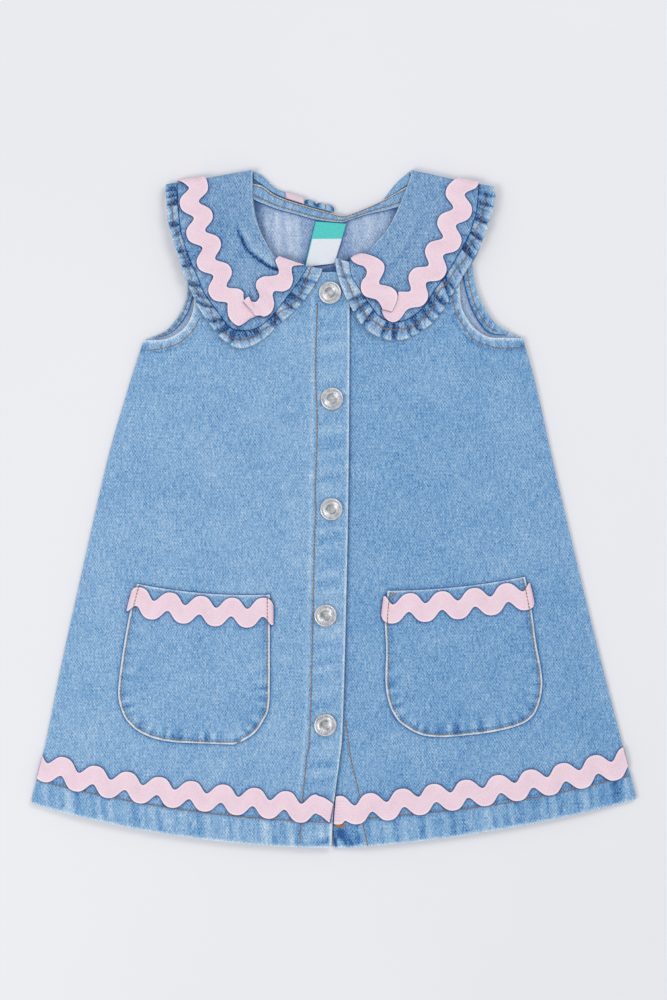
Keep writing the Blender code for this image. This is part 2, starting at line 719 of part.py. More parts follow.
def make_collar(side, table):
    collar = Collar(table)
    back_neck, back_seam, back_edge = collar.back
    steps = np.linspace(0, 1, COLLAR_ROWS + 1)
    collar.sheet(
        f"collar_{side}",
        (collar.neck.share, back_neck.share),
        (collar.seam.share, back_seam.share),
        steps,
        COLLAR_CELLS,
        lambda along, across: 0.0,
        "denim",
    )

    def parted(seam, edge):
        """The seam line moved out by the gap."""

        def line(share):
            start, end = seam.share(share), edge.share(share)
            return start + (end - start) * SEAM_GAP / np.hypot(*(end - start))

        return line

    collar.sheet(
        f"ruffle_{side}",
        (parted(collar.seam, collar.edge), parted(back_seam, back_edge)),
        (collar.edge.share, back_edge.share),
        np.linspace(0, 1, RUFFLE_WAVES * RUFFLE_ROWS_PER_WAVE + 1),
        RUFFLE_CELLS,
        gather,
        "denim",
    )
    return collar


# ---- The collar's roll behind the neck ----
def roll_piece(name, seam, edge, start, end, rows, stand, wall, material):
    """A stretch of the roll between two shares of its length. Without a wall it reaches
    the surface, and with one it lies on the roll."""
    seam, edge = Route(seam), Route(edge)
    upper, lower = [], []
    for along in np.linspace(start, end, rows + 1):
        pairs = [(mix(seam.share(along), edge.share(along), c), z) for c, z in ROLL_PROFILE]
        upper.append([(x, y, z + stand) for (x, y), z in pairs])
        lower.append([(x, y, z + stand - wall if wall else 0.0) for (x, y), z in pairs])
    closed_sheet(name, upper, lower, material)


def make_rolls():
    seam, edge = ROLL_LEFT_SEAM, ROLL_LEFT_EDGE
    roll_piece("collar_roll_left", seam, edge, 0.0, ROLL_END_LEFT, 9, 0.0, 0.0, "denim")
    start = ROLL_END_LEFT + ROLL_END_GAP
    roll_piece("ruffle_end_left", seam, edge, start, 1.0, 8, RUFFLE_END_RISE, 0.0, "denim")
    roll_piece(
        "ricrac_neck_left", seam, edge, *ROLL_BRAID, 4, GAP + BRAID_WALL, BRAID_WALL, "braid"
    )
    seam, edge = ROLL_RIGHT_SEAM, ROLL_RIGHT_EDGE
    roll_piece("collar_roll_right", seam, edge, 0.0, 1.0, 6, 0.0, 0.0, "denim")


# ---- Braid ----
def crest(phase):
    """1 at a crest and 0 in a hollow, broad at the crest and narrow in the hollow."""
    return (1 + math.cos(phase - CREST_BREADTH * math.sin(phase))) / 2


def braid_offsets(distance, first_crest, pitch):
    """How far the braid's two edges are from its middle line."""
    phase = 2 * math.pi * (distance - first_crest) / pitch
    return (
        BRAID_INNER + BRAID_DEPTH * crest(phase),
        -BRAID_INNER - BRAID_DEPTH * crest(phase + math.pi),
    )


def braid_steps(length, first_crest, pitch, folded):
    """Distances along the braid, with one at each crest and hollow, and more on a fold."""
    step = pitch / BRAID_ROWS_PER_WAVE
    start = first_crest % step
    inside = [d for d in np.arange(start, length, step) if step / 3 < d < length - step / 3]
    between = [d + step / 2 for d in inside if d < folded]
    return [0.0, *sorted(inside + between), length]


def make_braid(name, length, first_crest, pitch, place, folded=0.0):
    """place(distance along, offset from the middle line, height over the ground)"""
    upper, lower = [], []
    for distance in braid_steps(length, first_crest, pitch, folded):
        high, low = braid_offsets(distance, first_crest, pitch)
        offsets = (high, (high + low) / 2, low)
        upper.append([place(distance, off, GAP + BRAID_WALL) for off in offsets])
        lower.append([place(distance, off, GAP) for off in offsets])
    closed_sheet(name, upper, lower, "braid")


def make_hem_braid(side, line, first_crest, pitch, hidden):
    skirt = SKIRTS[side]
    middle = Route(line)
    width = middle.points[-1][0]

    def place(distance, offset, height):
        x, y = skirt.by_distance(distance / width, middle.y_at(distance) + offset)
        return (x, y, front_top(x, y, side) + height)

    make_braid(f"ricrac_hem_{side}", width - hidden, first_crest, pitch, place)


def make_collar_braid(name, collar, route, first_crest, pitch, round_end, lap):
    middle = Route(route)

    def place(distance, offset, height):
        if round_end:
            past = (distance - (middle.length - round_end)) / round_end
            offset *= math.sqrt(1 - min(max(past, 0.0), ROUND_END_SHARE) ** 2)
        x, y = middle.at(distance) + middle.normal(distance) * offset
        if lap:
            off = lap * (BRAID_WALL + GAP) * (1 - smooth((distance - LAP_LENGTH) / LAP_FALL))
        else:
            off = FOLD_EASE * smooth(2 * (1 - distance / BRAID_ON_FOLD))
        return collar.lay(x, y, WALL / 2 + height + off)

    folded = 0.0 if lap else BRAID_ON_FOLD
    make_braid(f"ricrac_collar_{name}", middle.length, first_crest, pitch, place, folded)


# ---- Pockets ----
# Shares of a side that have a row, close together round the lower corner.
POCKET_ROWS = (0.0, 0.15, 0.3, 0.45, 0.56, 0.63, 0.69, 0.75, 0.81, 0.87, 0.935, 1.0)
POCKET_CELLS = 8


def make_pocket(side, table):
    patch = Patch(*table["sides"], table["sag"], 0.0)
    grid = [
        [patch.by_share(c / POCKET_CELLS, along) for c in range(POCKET_CELLS + 1)]
        for along in POCKET_ROWS
    ]

    def low(x, y):
        return front_top(x, y, side) + GAP

    slab(f"pocket_{side}", grid, low, lambda x, y: low(x, y) + WALL, "denim")
    length = patch.width(BRAID_ON_POCKET)

    def place(distance, offset, height):
        x, y = patch.by_distance(distance / length, BRAID_ON_POCKET - offset)
        return (x, y, low(x, y) + WALL + height)

    make_braid(f"ricrac_pocket_{side}", length, table["first_crest"], table["pitch"], place)


# ---- Buttons ----
def make_button(number, x, y):
    base = front_top(x, y, "left") + GAP
    points, faces = [], []
    for radius, height in BUTTON_PROFILE:
        for k in range(BUTTON_SIDES):
            angle = 2 * math.pi * k / BUTTON_SIDES
            points.append(
                (x + radius * math.cos(angle), y + radius * math.sin(angle), base + height)
            )
    for ring in range(len(BUTTON_PROFILE) - 1):
        for k in range(BUTTON_SIDES):
            a, b = ring * BUTTON_SIDES + k, ring * BUTTON_SIDES + (k + 1) % BUTTON_SIDES
            faces.append([a, b, b + BUTTON_SIDES, a + BUTTON_SIDES])
    top = (len(BUTTON_PROFILE) - 1) * BUTTON_SIDES
    foot, middle = len(points), len(points) + 1
    points += [(x, y, base), (x, y, base + BUTTON_MIDDLE)]
    for k in range(BUTTON_SIDES):
        after = (k + 1) % BUTTON_SIDES
        faces.append([after, k, foot])
        faces.append([top + k, top + after, middle])
    add_object(f"button_{number}", points, faces, "button_metal")


def main():
    for obj in list(bpy.data.objects):
        bpy.data.objects.remove(obj, do_unlink=True)
    make_back()
    make_inside()
    for side in ("right", "left"):
        make_front(side)
    for side, table in HEM_BRAID.items():
        make_hem_braid(side, **table)
    make_pocket("left", POCKET_LEFT)
    make_pocket("right", POCKET_RIGHT)
    for side, table in (("left", COLLAR_LEFT), ("right", COLLAR_RIGHT)):
        collar = make_collar(side, table)
        for run in ("side", "front"):
            name = f"{side}_{run}"
            make_collar_braid(name, collar, **COLLAR_BRAID[name])
    make_rolls()
    for number, (x, y) in enumerate(BUTTONS, start=1):
        make_button(number, x, y)


main()
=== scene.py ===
"""The looks of a child's sleeveless denim dress, laid flat on its back.

Axes: X across the dress, Y from the hem to the neck, Z up from the floor. Tables, sizes
and every function here are in millimetres; MM turns them into metres when a mesh is made.
Each piece follows the same height functions as its solid, on a closer grid, so what lies
on a panel stays clear of it.
"""

import math

import bpy
import numpy as np
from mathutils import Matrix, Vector


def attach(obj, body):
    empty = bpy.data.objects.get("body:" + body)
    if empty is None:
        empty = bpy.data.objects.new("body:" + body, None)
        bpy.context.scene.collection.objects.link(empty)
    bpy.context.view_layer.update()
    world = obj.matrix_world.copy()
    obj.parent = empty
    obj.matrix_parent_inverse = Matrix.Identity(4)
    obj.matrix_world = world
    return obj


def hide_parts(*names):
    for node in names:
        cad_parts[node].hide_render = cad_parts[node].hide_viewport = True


MM = 0.001
TURN = 2 * math.pi

# ---- Driving sizes ----
WALL = 1.1  # denim, one layer with its seam allowance pressed in
GAP = 0.3  # clearance between neighbouring pieces
BRAID_WALL = 1.0
LABEL_WALL = 1.0
LAYER = WALL + GAP
PLACKET_STEP = 0.5  # what the placket's folded layers add
PLACKET_WIDTH = 22.5
PLACKET_RAMP = 4.0
HEM_STEP = 0.5  # what the turned-up hem adds
HEM_DEPTH = 17.2
HEM_RAMP = 1.6
BELLY = 0.8  # how much the skirt's middle stands off its back
BELLY_END_Y = 90.0
BELLY_FADE = 50.0
SEAM_REACH = 35.0  # how far in from a side seam the front reaches its full height
OVERLAP_START = 3.0
OVERLAP_FALL = 22.0
UNDERARM_Y = 110.5
LIFT = WALL + GAP  # the back panel lies on the collar's back half above LIFT_END_Y
LIFT_START_Y = 60.0
LIFT_END_Y = 126.0
COLLAR_BASE = WALL + GAP + LAYER + WALL + PLACKET_STEP + GAP
FOLD_RADIUS = (LIFT + COLLAR_BASE) / 2
FOLD_CENTRE_Z = FOLD_RADIUS + WALL / 2
FOLD_OUTSIDE = FOLD_RADIUS + WALL / 2
EDGE_ROUND = 0.35  # how far in from a rim a wall reaches its full thickness

# ---- Outlines, as (x, y) points that a smooth curve goes through ----
SIDE = {
    "left": (
        (-197.5, -191.6), (-187.8, -153.2), (-176.5, -98.0), (-163.5, -39.5), (-147.2, 32.0),
        (-133.6, 78.8), (-123.4, 110.0),
    ),
    "right": (
        (197.5, -189.0), (188.2, -153.2), (173.9, -98.0), (159.6, -39.5), (142.7, 32.0), (132.3, 78.8),
        (123.2, 111.3),
    ),
}
EDGE = {
    "left": (
        (-1.3, -220.2), (0.3, -192.2), (4.0, -163.0), (6.2, -137.0), (9.1, -26.5), (10.3, 71.0),
        (10.6, 154.2),
    ),
    "right": (
        (1.0, -220.8), (-2.3, -192.2), (-6.8, -163.0), (-10.7, -137.0), (-11.4, -26.5), (-11.4, 71.0),
        (-11.4, 155.5),
    ),
}
ARMHOLE_FRONT = {
    "left": (
        (-123.4, 110.0), (-114.7, 110.1), (-107.6, 111.3), (-100.8, 114.8), (-95.9, 119.3),
        (-92.6, 125.6), (-90.7, 134.1), (-89.4, 155.5), (-91.3, 184.8), (-93.3, 209.4),
    ),
    "right": (
        (123.2, 111.3), (110.8, 111.6), (102.4, 111.7), (96.2, 114.2), (90.7, 118.8), (86.8, 124.3),
        (83.3, 131.5), (82.2, 142.5), (82.2, 155.5), (84.8, 184.8), (88.7, 207.4),
    ),
}
ARMHOLE_BACK = {
    "left": (
        (-123.4, 110.0), (-113.6, 113.9), (-108.2, 117.2), (-103.3, 122.6), (-99.1, 128.9),
        (-96.5, 135.0), (-95.2, 142.1), (-95.2, 168.5), (-93.9, 209.4),
    ),
    "right": (
        (123.2, 111.3), (111.9, 116.5), (106.5, 120.0), (102.4, 124.6), (98.2, 131.5), (94.9, 138.6),
        (92.6, 145.8), (90.7, 156.8), (89.4, 178.3), (89.4, 207.4),
    ),
}
NECK_FRONT = {
    "left": (
        (10.6, 154.2), (1.0, 154.4), (-7.8, 154.4), (-21.8, 158.8), (-36.7, 162.7), (-43.9, 173.1),
        (-49.1, 185.4), (-52.0, 201.0), (-52.6, 216.0),
    ),
    "right": (
        (-11.4, 155.5), (1.0, 158.1), (11.4, 164.0), (20.5, 166.2), (28.3, 173.7), (35.4, 182.2),
        (41.3, 193.2), (46.5, 206.2), (50.4, 216.6),
    ),
}
TOP_BACK = (
    (-93.9, 209.4), (-73.8, 212.4), (-53.6, 214.8), (-46.5, 210.4), (-40.0, 205.6), (-31.8, 201.7),
    (-23.5, 199.1), (-15.3, 196.5), (-6.8, 193.8), (1.6, 191.8), (8.1, 190.9), (20.5, 195.5),
    (32.8, 201.3), (40.6, 205.5), (48.4, 210.4), (51.0, 216.0), (69.2, 212.4), (89.4, 207.4),
)
BAND_UPPER = (
    (-56.2, 212.6), (-46.5, 210.4), (-40.0, 205.6), (-31.8, 201.7), (-15.3, 196.5), (1.6, 191.8),
    (8.1, 190.9), (20.5, 195.5), (32.8, 201.3), (48.4, 210.4), (53.0, 212.0),
)
BAND_LOWER = (
    (-56.2, 203.6), (-50.5, 200.8), (-45.4, 198.7), (-36.1, 195.2), (-23.7, 191.9), (-11.4, 188.5),
    (4.2, 186.7), (8.8, 187.6), (18.5, 190.9), (26.7, 193.0), (35.0, 194.7), (48.0, 198.4),
)
LABEL_TOP = ((-11.7, 187.4), (8.5, 185.9))
LABEL_BOTTOM = ((-18.9, 157.3), (0.7, 159.9))
FACINGS = {  # the outer edge, then the inner one
    "left": (
        (
            (-95.0, 165.0), (-95.0, 142.1), (-96.3, 135.0), (-98.9, 128.7), (-103.1, 122.4),
            (-108.0, 117.0), (-113.4, 113.7), (-117.5, 112.2),
        ),
        (
            (-91.0, 165.0), (-91.3, 142.5), (-92.9, 133.0), (-95.2, 126.9), (-98.8, 121.4),
            (-103.7, 116.2), (-109.5, 113.0), (-116.0, 111.2),
        ),
    ),
    "right": (
        (
            (89.3, 180.0), (90.5, 156.8), (92.4, 145.8), (94.7, 138.6), (98.0, 131.5), (102.2, 124.4),
            (106.3, 119.8), (113.2, 115.4),
        ),
        (
            (83.4, 180.0), (83.9, 156.8), (85.8, 142.8), (88.7, 132.8), (92.4, 125.0), (97.4, 117.8),
            (103.0, 113.9), (112.8, 113.2),
        ),
    ),
}

# ---- Collar: neck edge, outer seam and the ruffle's outer edge, front tip to shoulder ----
COLLARS = {
    "left": {
        "neck": (
            (-17.9, 158.1), (-28.3, 160.1), (-37.4, 163.3), (-44.5, 174.4), (-49.7, 186.1),
            (-52.6, 201.0), (-52.6, 216.6),
        ),
        "seam": (
            (-16.3, 158.2), (-21.8, 149.7), (-32.2, 135.4), (-41.9, 123.7), (-49.7, 117.8),
            (-57.5, 116.2), (-66.6, 117.8), (-75.7, 128.9), (-83.5, 139.9), (-88.7, 151.9),
            (-93.3, 162.3), (-98.5, 178.3), (-100.8, 194.5), (-101.4, 209.5),
        ),
        "edge": (
            (-7.2, 155.8), (-11.6, 146.4), (-22.8, 131.2), (-34.1, 121.1), (-43.6, 112.0), (-51.7, 106.8),
            (-60.8, 104.8), (-69.9, 108.7), (-79.6, 119.4), (-87.4, 130.8), (-93.9, 144.5),
            (-98.5, 156.8), (-103.0, 170.5), (-106.6, 183.7), (-108.2, 197.1), (-108.9, 208.2),
        ),
        "fold": ((-108.9, 211.4), (-85.5, 214.9), (-52.3, 220.8)),
        "back_scale": 1.0,
        # A crease as its line, then how high the cloth rises on the line's left side, how far
        # it takes to ease down again, and how dark the line's painted shade is.
        "crease": (
            (
                (-65.0, 190.0), (-62.1, 182.2), (-59.5, 176.3), (-55.1, 167.9), (-47.8, 162.0),
                (-41.5, 157.5), (-37.4, 156.2), (-30.0, 154.6), (-22.0, 153.0),
            ),
            1.5, 17.0, 1.3,
        ),
    },
    "right": {
        "neck": (
            (11.4, 163.0), (20.5, 165.3), (27.6, 173.1), (35.4, 182.5), (41.3, 193.9), (46.5, 206.2),
            (50.4, 217.4),
        ),
        "seam": (
            (10.4, 160.7), (11.6, 152.3), (15.0, 146.2), (22.4, 134.7), (30.2, 125.0), (37.4, 122.0),
            (45.8, 122.4), (53.6, 126.9), (60.1, 133.4), (65.3, 141.9), (71.7, 150.3), (78.8, 161.6),
            (87.2, 176.3), (90.9, 186.5), (93.0, 194.8), (94.2, 207.5),
        ),
        "edge": (
            (0.8, 163.0), (2.9, 151.2), (6.4, 141.6), (11.0, 132.0), (18.7, 119.8), (27.6, 112.9),
            (36.5, 110.0), (43.9, 110.0), (52.3, 112.9), (63.4, 120.4), (71.2, 129.5), (78.7, 142.5),
            (86.1, 154.9), (94.2, 168.5), (99.1, 180.2), (102.4, 190.6), (105.0, 203.0), (104.2, 206.5),
        ),
        "fold": ((50.0, 220.9), (82.2, 213.8), (105.0, 209.8)),
        "back_scale": -0.93,
        "crease": (
            ((34.0, 150.0), (39.0, 158.0), (46.0, 168.0), (54.0, 182.0), (60.0, 196.0)),
            0.6, 14.0, 0.15,
        ),
    },
}
# The collar's back half, on the left; back_scale makes it the right one's.
BACK_NECK = ((-52.6, 209.5), (-45.0, 205.0), (-31.0, 198.0), (-20.0, 193.8), (-14.0, 191.8))
BACK_SEAM = (
    (-101.4, 208.0), (-100.0, 190.0), (-93.0, 170.0), (-80.0, 153.0), (-62.0, 143.0), (-42.0, 139.5),
    (-24.0, 143.0), (-14.0, 153.0), (-11.0, 170.0), (-11.0, 189.5),
)
BACK_EDGE = (
    (-108.9, 206.5), (-108.0, 188.0), (-100.5, 165.5), (-85.5, 146.5), (-65.0, 135.0), (-42.0, 131.0),
    (-19.0, 135.0), (-5.5, 148.5), (-2.0, 169.0), (-2.0, 189.5),
)
ROLL_LEFT_SEAM = (
    (-52.3, 215.0), (-46.2, 211.1), (-39.7, 206.4), (-31.5, 202.6), (-15.2, 197.4), (0.3, 193.0),
)
ROLL_LEFT_EDGE = (
    (-52.3, 220.4), (-46.5, 217.3), (-37.4, 208.9), (-28.5, 205.9), (-11.4, 200.4), (0.3, 198.0),
)
ROLL_RIGHT_SEAM = ((49.8, 212.3), (39.6, 205.6), (33.5, 202.3))
ROLL_RIGHT_EDGE = ((49.8, 220.4), (41.3, 212.9), (33.4, 203.0))
# Share across and height of the roll
ROLL_PROFILE = ((0.0, 3.2), (0.4, 3.4), (0.8, 2.7), (1.0, 1.2))
ROLL_END_LEFT = 0.655  # the share along the roll at which the ruffle's end starts
ROLL_END_GAP = 0.01
RUFFLE_END_RISE = 0.4
ROLL_PINCHES = (0.665, 0.80, 1.0)  # shares along
ROLL_STITCH = 0.905
ROLL_BRAID = (0.435, 0.65)

# ---- Ruffle ----
SEAM_GAP = 0.2
RUFFLE_HEIGHT = 1.7
RUFFLE_FADE = 0.08
RUFFLE_SCALLOP = 0.17  # share of the width by which a pinch draws the free edge in
# Each pinch between two folds: its share along the seam and along the free edge, how deep
# it is, which also sets how dark its painted shade is, and how pale the inner half of the
# next fold is.
RUFFLE_PINCHES = {
    "left": (
        (-0.01, -0.01, 0.0, 0.4), (0.048, 0.050, 0.5, -0.8), (0.100, 0.098, 0.3, 0.2),
        (0.122, 0.122, 0.8, -0.9), (0.165, 0.160, 0.6, 0.6), (0.218, 0.222, 0.9, -1.0),
        (0.244, 0.240, 1.0, 0.2), (0.300, 0.310, 0.3, -1.0), (0.345, 0.355, 0.2, -0.8),
        (0.385, 0.425, 0.7, -0.5), (0.415, 0.480, 0.9, -0.3), (0.450, 0.530, 0.8, 0.3),
        (0.510, 0.610, 1.0, 0.5), (0.555, 0.640, 0.5, 0.1), (0.605, 0.672, 1.0, 0.3),
        (0.690, 0.735, 0.6, -0.8), (0.752, 0.782, 0.9, 0.6), (0.820, 0.835, 0.3, -0.1),
        (0.855, 0.872, 1.0, 0.5), (0.933, 0.943, 0.8, -0.6), (0.962, 0.968, 0.6, -0.5),
        (0.985, 0.990, 0.8, 0.0),
    ),
    "right": (
        (-0.01, -0.01, 0.0, 0.8), (0.060, 0.060, 0.2, 0.7), (0.142, 0.150, 0.6, -0.2),
        (0.180, 0.192, 0.9, 0.4), (0.224, 0.242, 0.9, 0.4), (0.295, 0.316, 0.7, -0.3),
        (0.322, 0.358, 1.0, 0.2), (0.368, 0.420, 0.5, 0.1), (0.395, 0.455, 0.8, -0.6),
        (0.440, 0.510, 0.5, -0.7), (0.485, 0.540, 0.6, -0.7), (0.530, 0.575, 1.0, 0.6),
        (0.597, 0.603, 0.9, 0.1), (0.612, 0.637, 0.6, 0.5), (0.680, 0.690, 0.2, 0.4),
        (0.748, 0.757, 0.9, -0.5), (0.785, 0.790, 0.4, 0.1), (0.818, 0.824, 1.0, 0.4),
        (0.876, 0.885, 0.9, -0.4), (0.940, 0.945, 0.4, -0.3), (0.975, 0.980, 0.5, -0.2),
    ),
}
RUFFLE_STITCHING = {  # the share along, then the share across, which the gathers make uneven
    "left": (
        (0.0, 0.2), (0.05, 0.36), (0.1, 0.56), (0.17, 0.5), (0.21, 0.28), (0.245, 0.62), (0.285, 0.38),
        (0.33, 0.5), (0.38, 0.52), (0.455, 0.56), (0.475, 0.34), (0.51, 0.5), (0.535, 0.28), (0.6, 0.42),
        (0.655, 0.64), (0.68, 0.46), (0.73, 0.38), (0.765, 0.42), (0.79, 0.34), (0.845, 0.42),
        (0.87, 0.57), (0.905, 0.52), (0.95, 0.5), (1.0, 0.5),
    ),
    "right": (
        (0.0, 0.66), (0.03, 0.58), (0.08, 0.47), (0.14, 0.55), (0.19, 0.49), (0.225, 0.52), (0.27, 0.38),
        (0.3, 0.45), (0.36, 0.45), (0.42, 0.52), (0.475, 0.49), (0.52, 0.44), (0.545, 0.24), (0.58, 0.24),
        (0.605, 0.33), (0.68, 0.35), (0.735, 0.52), (0.76, 0.36), (0.79, 0.34), (0.82, 0.49),
        (0.845, 0.33), (0.865, 0.36), (0.885, 0.47), (0.925, 0.4), (0.97, 0.45), (1.0, 0.5),
    ),
}
RUFFLE_DEEPEST = 1.55  # the lowest value of the wear and painted shade, in the pinches
PINCH_LINE = 0.55  # half as wide as the painted dark line of a pinch
PINCH_SHADE = 5.0  # how far the painted shade, and the fold's foot, reach over the fold that comes out of it
PINCH_DROP = 0.9  # over this length the fold before it drops to its foot
# Across the ruffle, from its seam to its free edge: its wear and painted shade, darkest at
# the seam, and how far it puffs out
RUFFLE_ACROSS = (0.0, 0.08, 0.15, 0.3, 0.45, 0.6, 0.72, 0.84, 0.93, 1.0)
RUFFLE_PALE = (-0.5, -0.25, -0.15, -0.1, -0.05, -0.05, 0.15, 0.6, 0.85, 0.95)
RUFFLE_PUFF = (0.1, 0.4, 0.55, 0.55, 0.42, 0.7, 0.88, 1.0, 0.95, 0.8)

# ---- Pockets: the outer and the inner side from the top down to the middle of the bottom ----
# sag is how far the top edge hangs in its middle, and the crests and pitch are the braid's.
POCKETS = {
    "left": {
        "sides": (
            (
                (-127.7, -48.3), (-131.6, -63.5), (-135.2, -81.7), (-138.5, -103.2), (-140.0, -120.7),
                (-137.0, -132.6), (-132.5, -139.5), (-125.3, -145.2), (-114.7, -149.4), (-101.7, -151.5),
            ),
            (
                (-41.3, -55.4), (-41.3, -72.6), (-41.3, -90.8), (-41.3, -111.6), (-41.9, -128.3),
                (-44.9, -136.3), (-50.6, -144.8), (-58.2, -150.2), (-65.3, -152.9),
            ),
        ),
        "sag": 2.7,
        "seed": 14,
        "pucker_start": 1.1,
        "tacks": (),
        "first_crest": 3.2,
        "pitch": 20.5,
    },
    "right": {
        "sides": (
            (
                (35.1, -52.9), (33.3, -71.1), (34.1, -90.8), (33.7, -111.6), (35.4, -124.0),
                (38.7, -132.4), (43.6, -138.9), (52.7, -144.8), (61.0, -147.4), (73.5, -148.0),
            ),
            (
                (124.5, -43.8), (128.4, -62.2), (131.6, -86.0), (135.2, -105.8), (135.5, -117.5),
                (132.3, -129.8), (127.3, -136.6), (119.0, -140.9), (106.6, -144.1), (93.9, -146.1),
            ),
        ),
        "sag": 2.2,
        "seed": 15,
        "pucker_start": 2.9,
        "first_crest": 15.4,
        "pitch": 21.4,
        "tacks": (((37.2, -55.2), (41.4, -55.0)),),
    },
}

# ---- Zigzag braid ----
BRAID_INNER = 2.6
BRAID_DEPTH = 7.2
CREST_BREADTH = 0.455
BRAID_ON_POCKET = 11.7
BRAID_OVERHANG = 2.4  # how far a pocket's braid reaches past the pocket's sides
BRAID_CORNER = 1.8
# The hem's braids, from the side seams to the centre: the middle line as (along, height over
# the hem), and how much of each is hidden at the centre. There the left one ends in a cut, its
# upper and lower edges given as lengths from the end and offsets from the middle line, and the
# right one in a lobe, given as its length, reach, notch and roundness.
HEM_BRAID = {
    "left": {
        "line": ((0.0, 26.0), (30.0, 25.8), (60.0, 27.2), (110.0, 28.8), (150.0, 28.0), (193.0, 24.4)),
        "first_crest": 14.6, "pitch": 20.9, "hidden": 0.4,
        "cut": (
            ((0.0, 2.4, 6.5, 12.2), (4.2, 5.9, 8.0, 9.3)),
            ((0.0, 9.1), (-7.7, -2.7)),
        ),
    },
    "right": {
        "line": ((0.0, 25.6), (40.0, 26.0), (85.0, 27.2), (130.0, 27.7), (160.0, 26.0), (196.0, 24.3)),
        "first_crest": 20.2, "pitch": 21.26, "hidden": 3.4, "lobe": (9.4, 8.4, 1.6, 0.8),
    },
}
# The collar's braids. A side braid runs as a wave up to wave_end and then as rungs, and a
# front braid is all rungs: (x, y) on its one edge and (x, y) on its other.
COLLAR_SIDE_BRAID = {
    "left": {
        "route": (
            (-92.4, 216.2), (-91.4, 210.5), (-89.8, 198.4), (-85.8, 180.2), (-79.6, 162.7),
            (-71.5, 143.2), (-63.4, 130.2), (-59.5, 121.5),
        ),
        "first_crest": 7.5,
        "pitch": 19.6,
        "wave_end": 86.0,
        "rungs": (
            (-58.3, 137.0, -68.7, 129.8), (-57.2, 134.4, -68.1, 125.3), (-54.9, 132.1, -65.7, 121.5),
            (-52.3, 130.2, -61.5, 119.0), (-50.4, 128.9, -57.2, 121.2), (-49.1, 127.6, -54.0, 123.5),
            (-48.4, 126.6, -50.4, 125.0),
        ),
    },
    "right": {
        "route": (
            (85.4, 215.4), (83.4, 209.0), (80.9, 197.4), (74.1, 177.0), (65.3, 159.4), (54.3, 143.2),
            (45.2, 132.0), (38.5, 122.5),
        ),
        "first_crest": 0.9,
        "pitch": 20.6,
        "wave_end": 89.0,
        "rungs": (
            (49.4, 130.3, 41.7, 138.6), (46.8, 128.5, 40.6, 136.0), (44.9, 125.6, 39.3, 133.7),
            (41.9, 122.4, 37.7, 132.2), (38.4, 121.4, 36.1, 131.8), (34.6, 123.1, 34.5, 132.1),
            (32.2, 126.3, 33.3, 132.4), (31.4, 129.5, 32.5, 132.4),
        ),
    },
}
COLLAR_FRONT_BRAID = {
    "left": (
        (-58.6, 134.6, -52.7, 128.3), (-55.0, 137.8, -50.5, 125.6), (-53.2, 134.8, -47.8, 125.7),
        (-50.1, 134.5, -44.5, 125.0), (-48.0, 137.6, -40.3, 127.7), (-48.8, 140.9, -38.5, 132.8),
        (-50.3, 144.3, -39.1, 136.7), (-49.6, 148.2, -39.5, 139.4), (-45.8, 150.8, -37.9, 141.5),
        (-41.3, 151.2, -32.8, 141.3), (-36.5, 152.1, -28.3, 143.6), (-35.4, 154.5, -26.3, 149.0),
        (-36.4, 157.8, -27.1, 153.9), (-37.6, 161.4, -26.2, 157.6), (-35.2, 164.1, -18.6, 158.5),
    ),
    "right": (
        (31.9, 129.5, 37.7, 127.9), (30.4, 132.8, 40.0, 132.8), (27.9, 135.7, 41.4, 137.0),
        (24.4, 136.8, 40.8, 140.6), (20.8, 138.0, 37.7, 143.8), (18.5, 140.6, 33.8, 145.1),
        (17.7, 144.5, 30.2, 145.9), (18.7, 148.4, 29.6, 148.0), (20.9, 151.0, 31.2, 151.0),
        (21.6, 154.5, 33.0, 155.5), (19.7, 157.5, 32.4, 159.4), (15.9, 158.8, 28.6, 162.7),
        (12.8, 160.6, 22.8, 165.1), (11.5, 162.4, 17.6, 165.9), (11.4, 163.3, 13.0, 164.7),
    ),
}
RUNGS_LENGTH = 14.0
LAP_LENGTH = 13.0  # how much of a front braid lies on the side braid's end
LAP_FALL = 8.0
BRAID_ON_FOLD = 3 * FOLD_RADIUS
FOLD_EASE = 0.2

# ---- Buttons ----
BUTTONS = ((-2.3, 140.6), (-1.0, 71.7), (-1.4, 0.0), (-5.2, -69.1), (-5.3, -140.2))

# ---- Topstitching: the rows that are seen, as (x, y) routes ----
# The hem's row, as (share of the way from the side seam to the centre, height over the edge).
HEM_STITCHING = {
    "left": ((0.0, 16.0), (0.25, 17.6), (0.5, 18.3), (0.8, 17.8), (1.0, 16.6)),
    "right": ((0.0, 16.4), (0.3, 17.0), (0.5, 17.6), (0.75, 18.8), (0.9, 18.4), (1.0, 17.2)),
}
HEM_STITCH_SHORT = {"left": 1.0, "right": 3.5}  # how far from the centre edge it stops
STITCH_PITCH = 2.3
STITCH_LENGTH = 2.1
STITCH_START = 0.6
THREAD_RADIUS = 0.32
STITCH_PLACKET = (
    (-10.3, 134.7), (-11.1, 114.6), (-11.6, 87.3), (-10.6, 54.8), (-11.8, 12.5), (-11.4, -0.5),
    (-12.5, -26.5), (-15.0, -137.0), (-17.5, -163.0), (-20.2, -189.0), (-21.5, -204.6), (-21.8, -219.0),
)
STITCH_UNDER_PLACKET = (
    (8.0, -137.0), (11.5, -163.0), (14.4, -175.3), (17.4, -189.0), (19.0, -203.3), (22.4, -219.5),
)
TACK = {"material": "thread_tack", "pitch": 0.9, "stitch": 1.3, "thickness": 0.5}
TACKS = (  # the side, then the ends of each row of close stitches
    ("right", (0.6, -205.6), (8.4, -205.8)),
    ("right", (0.9, -206.4), (7.2, -206.6)),
)
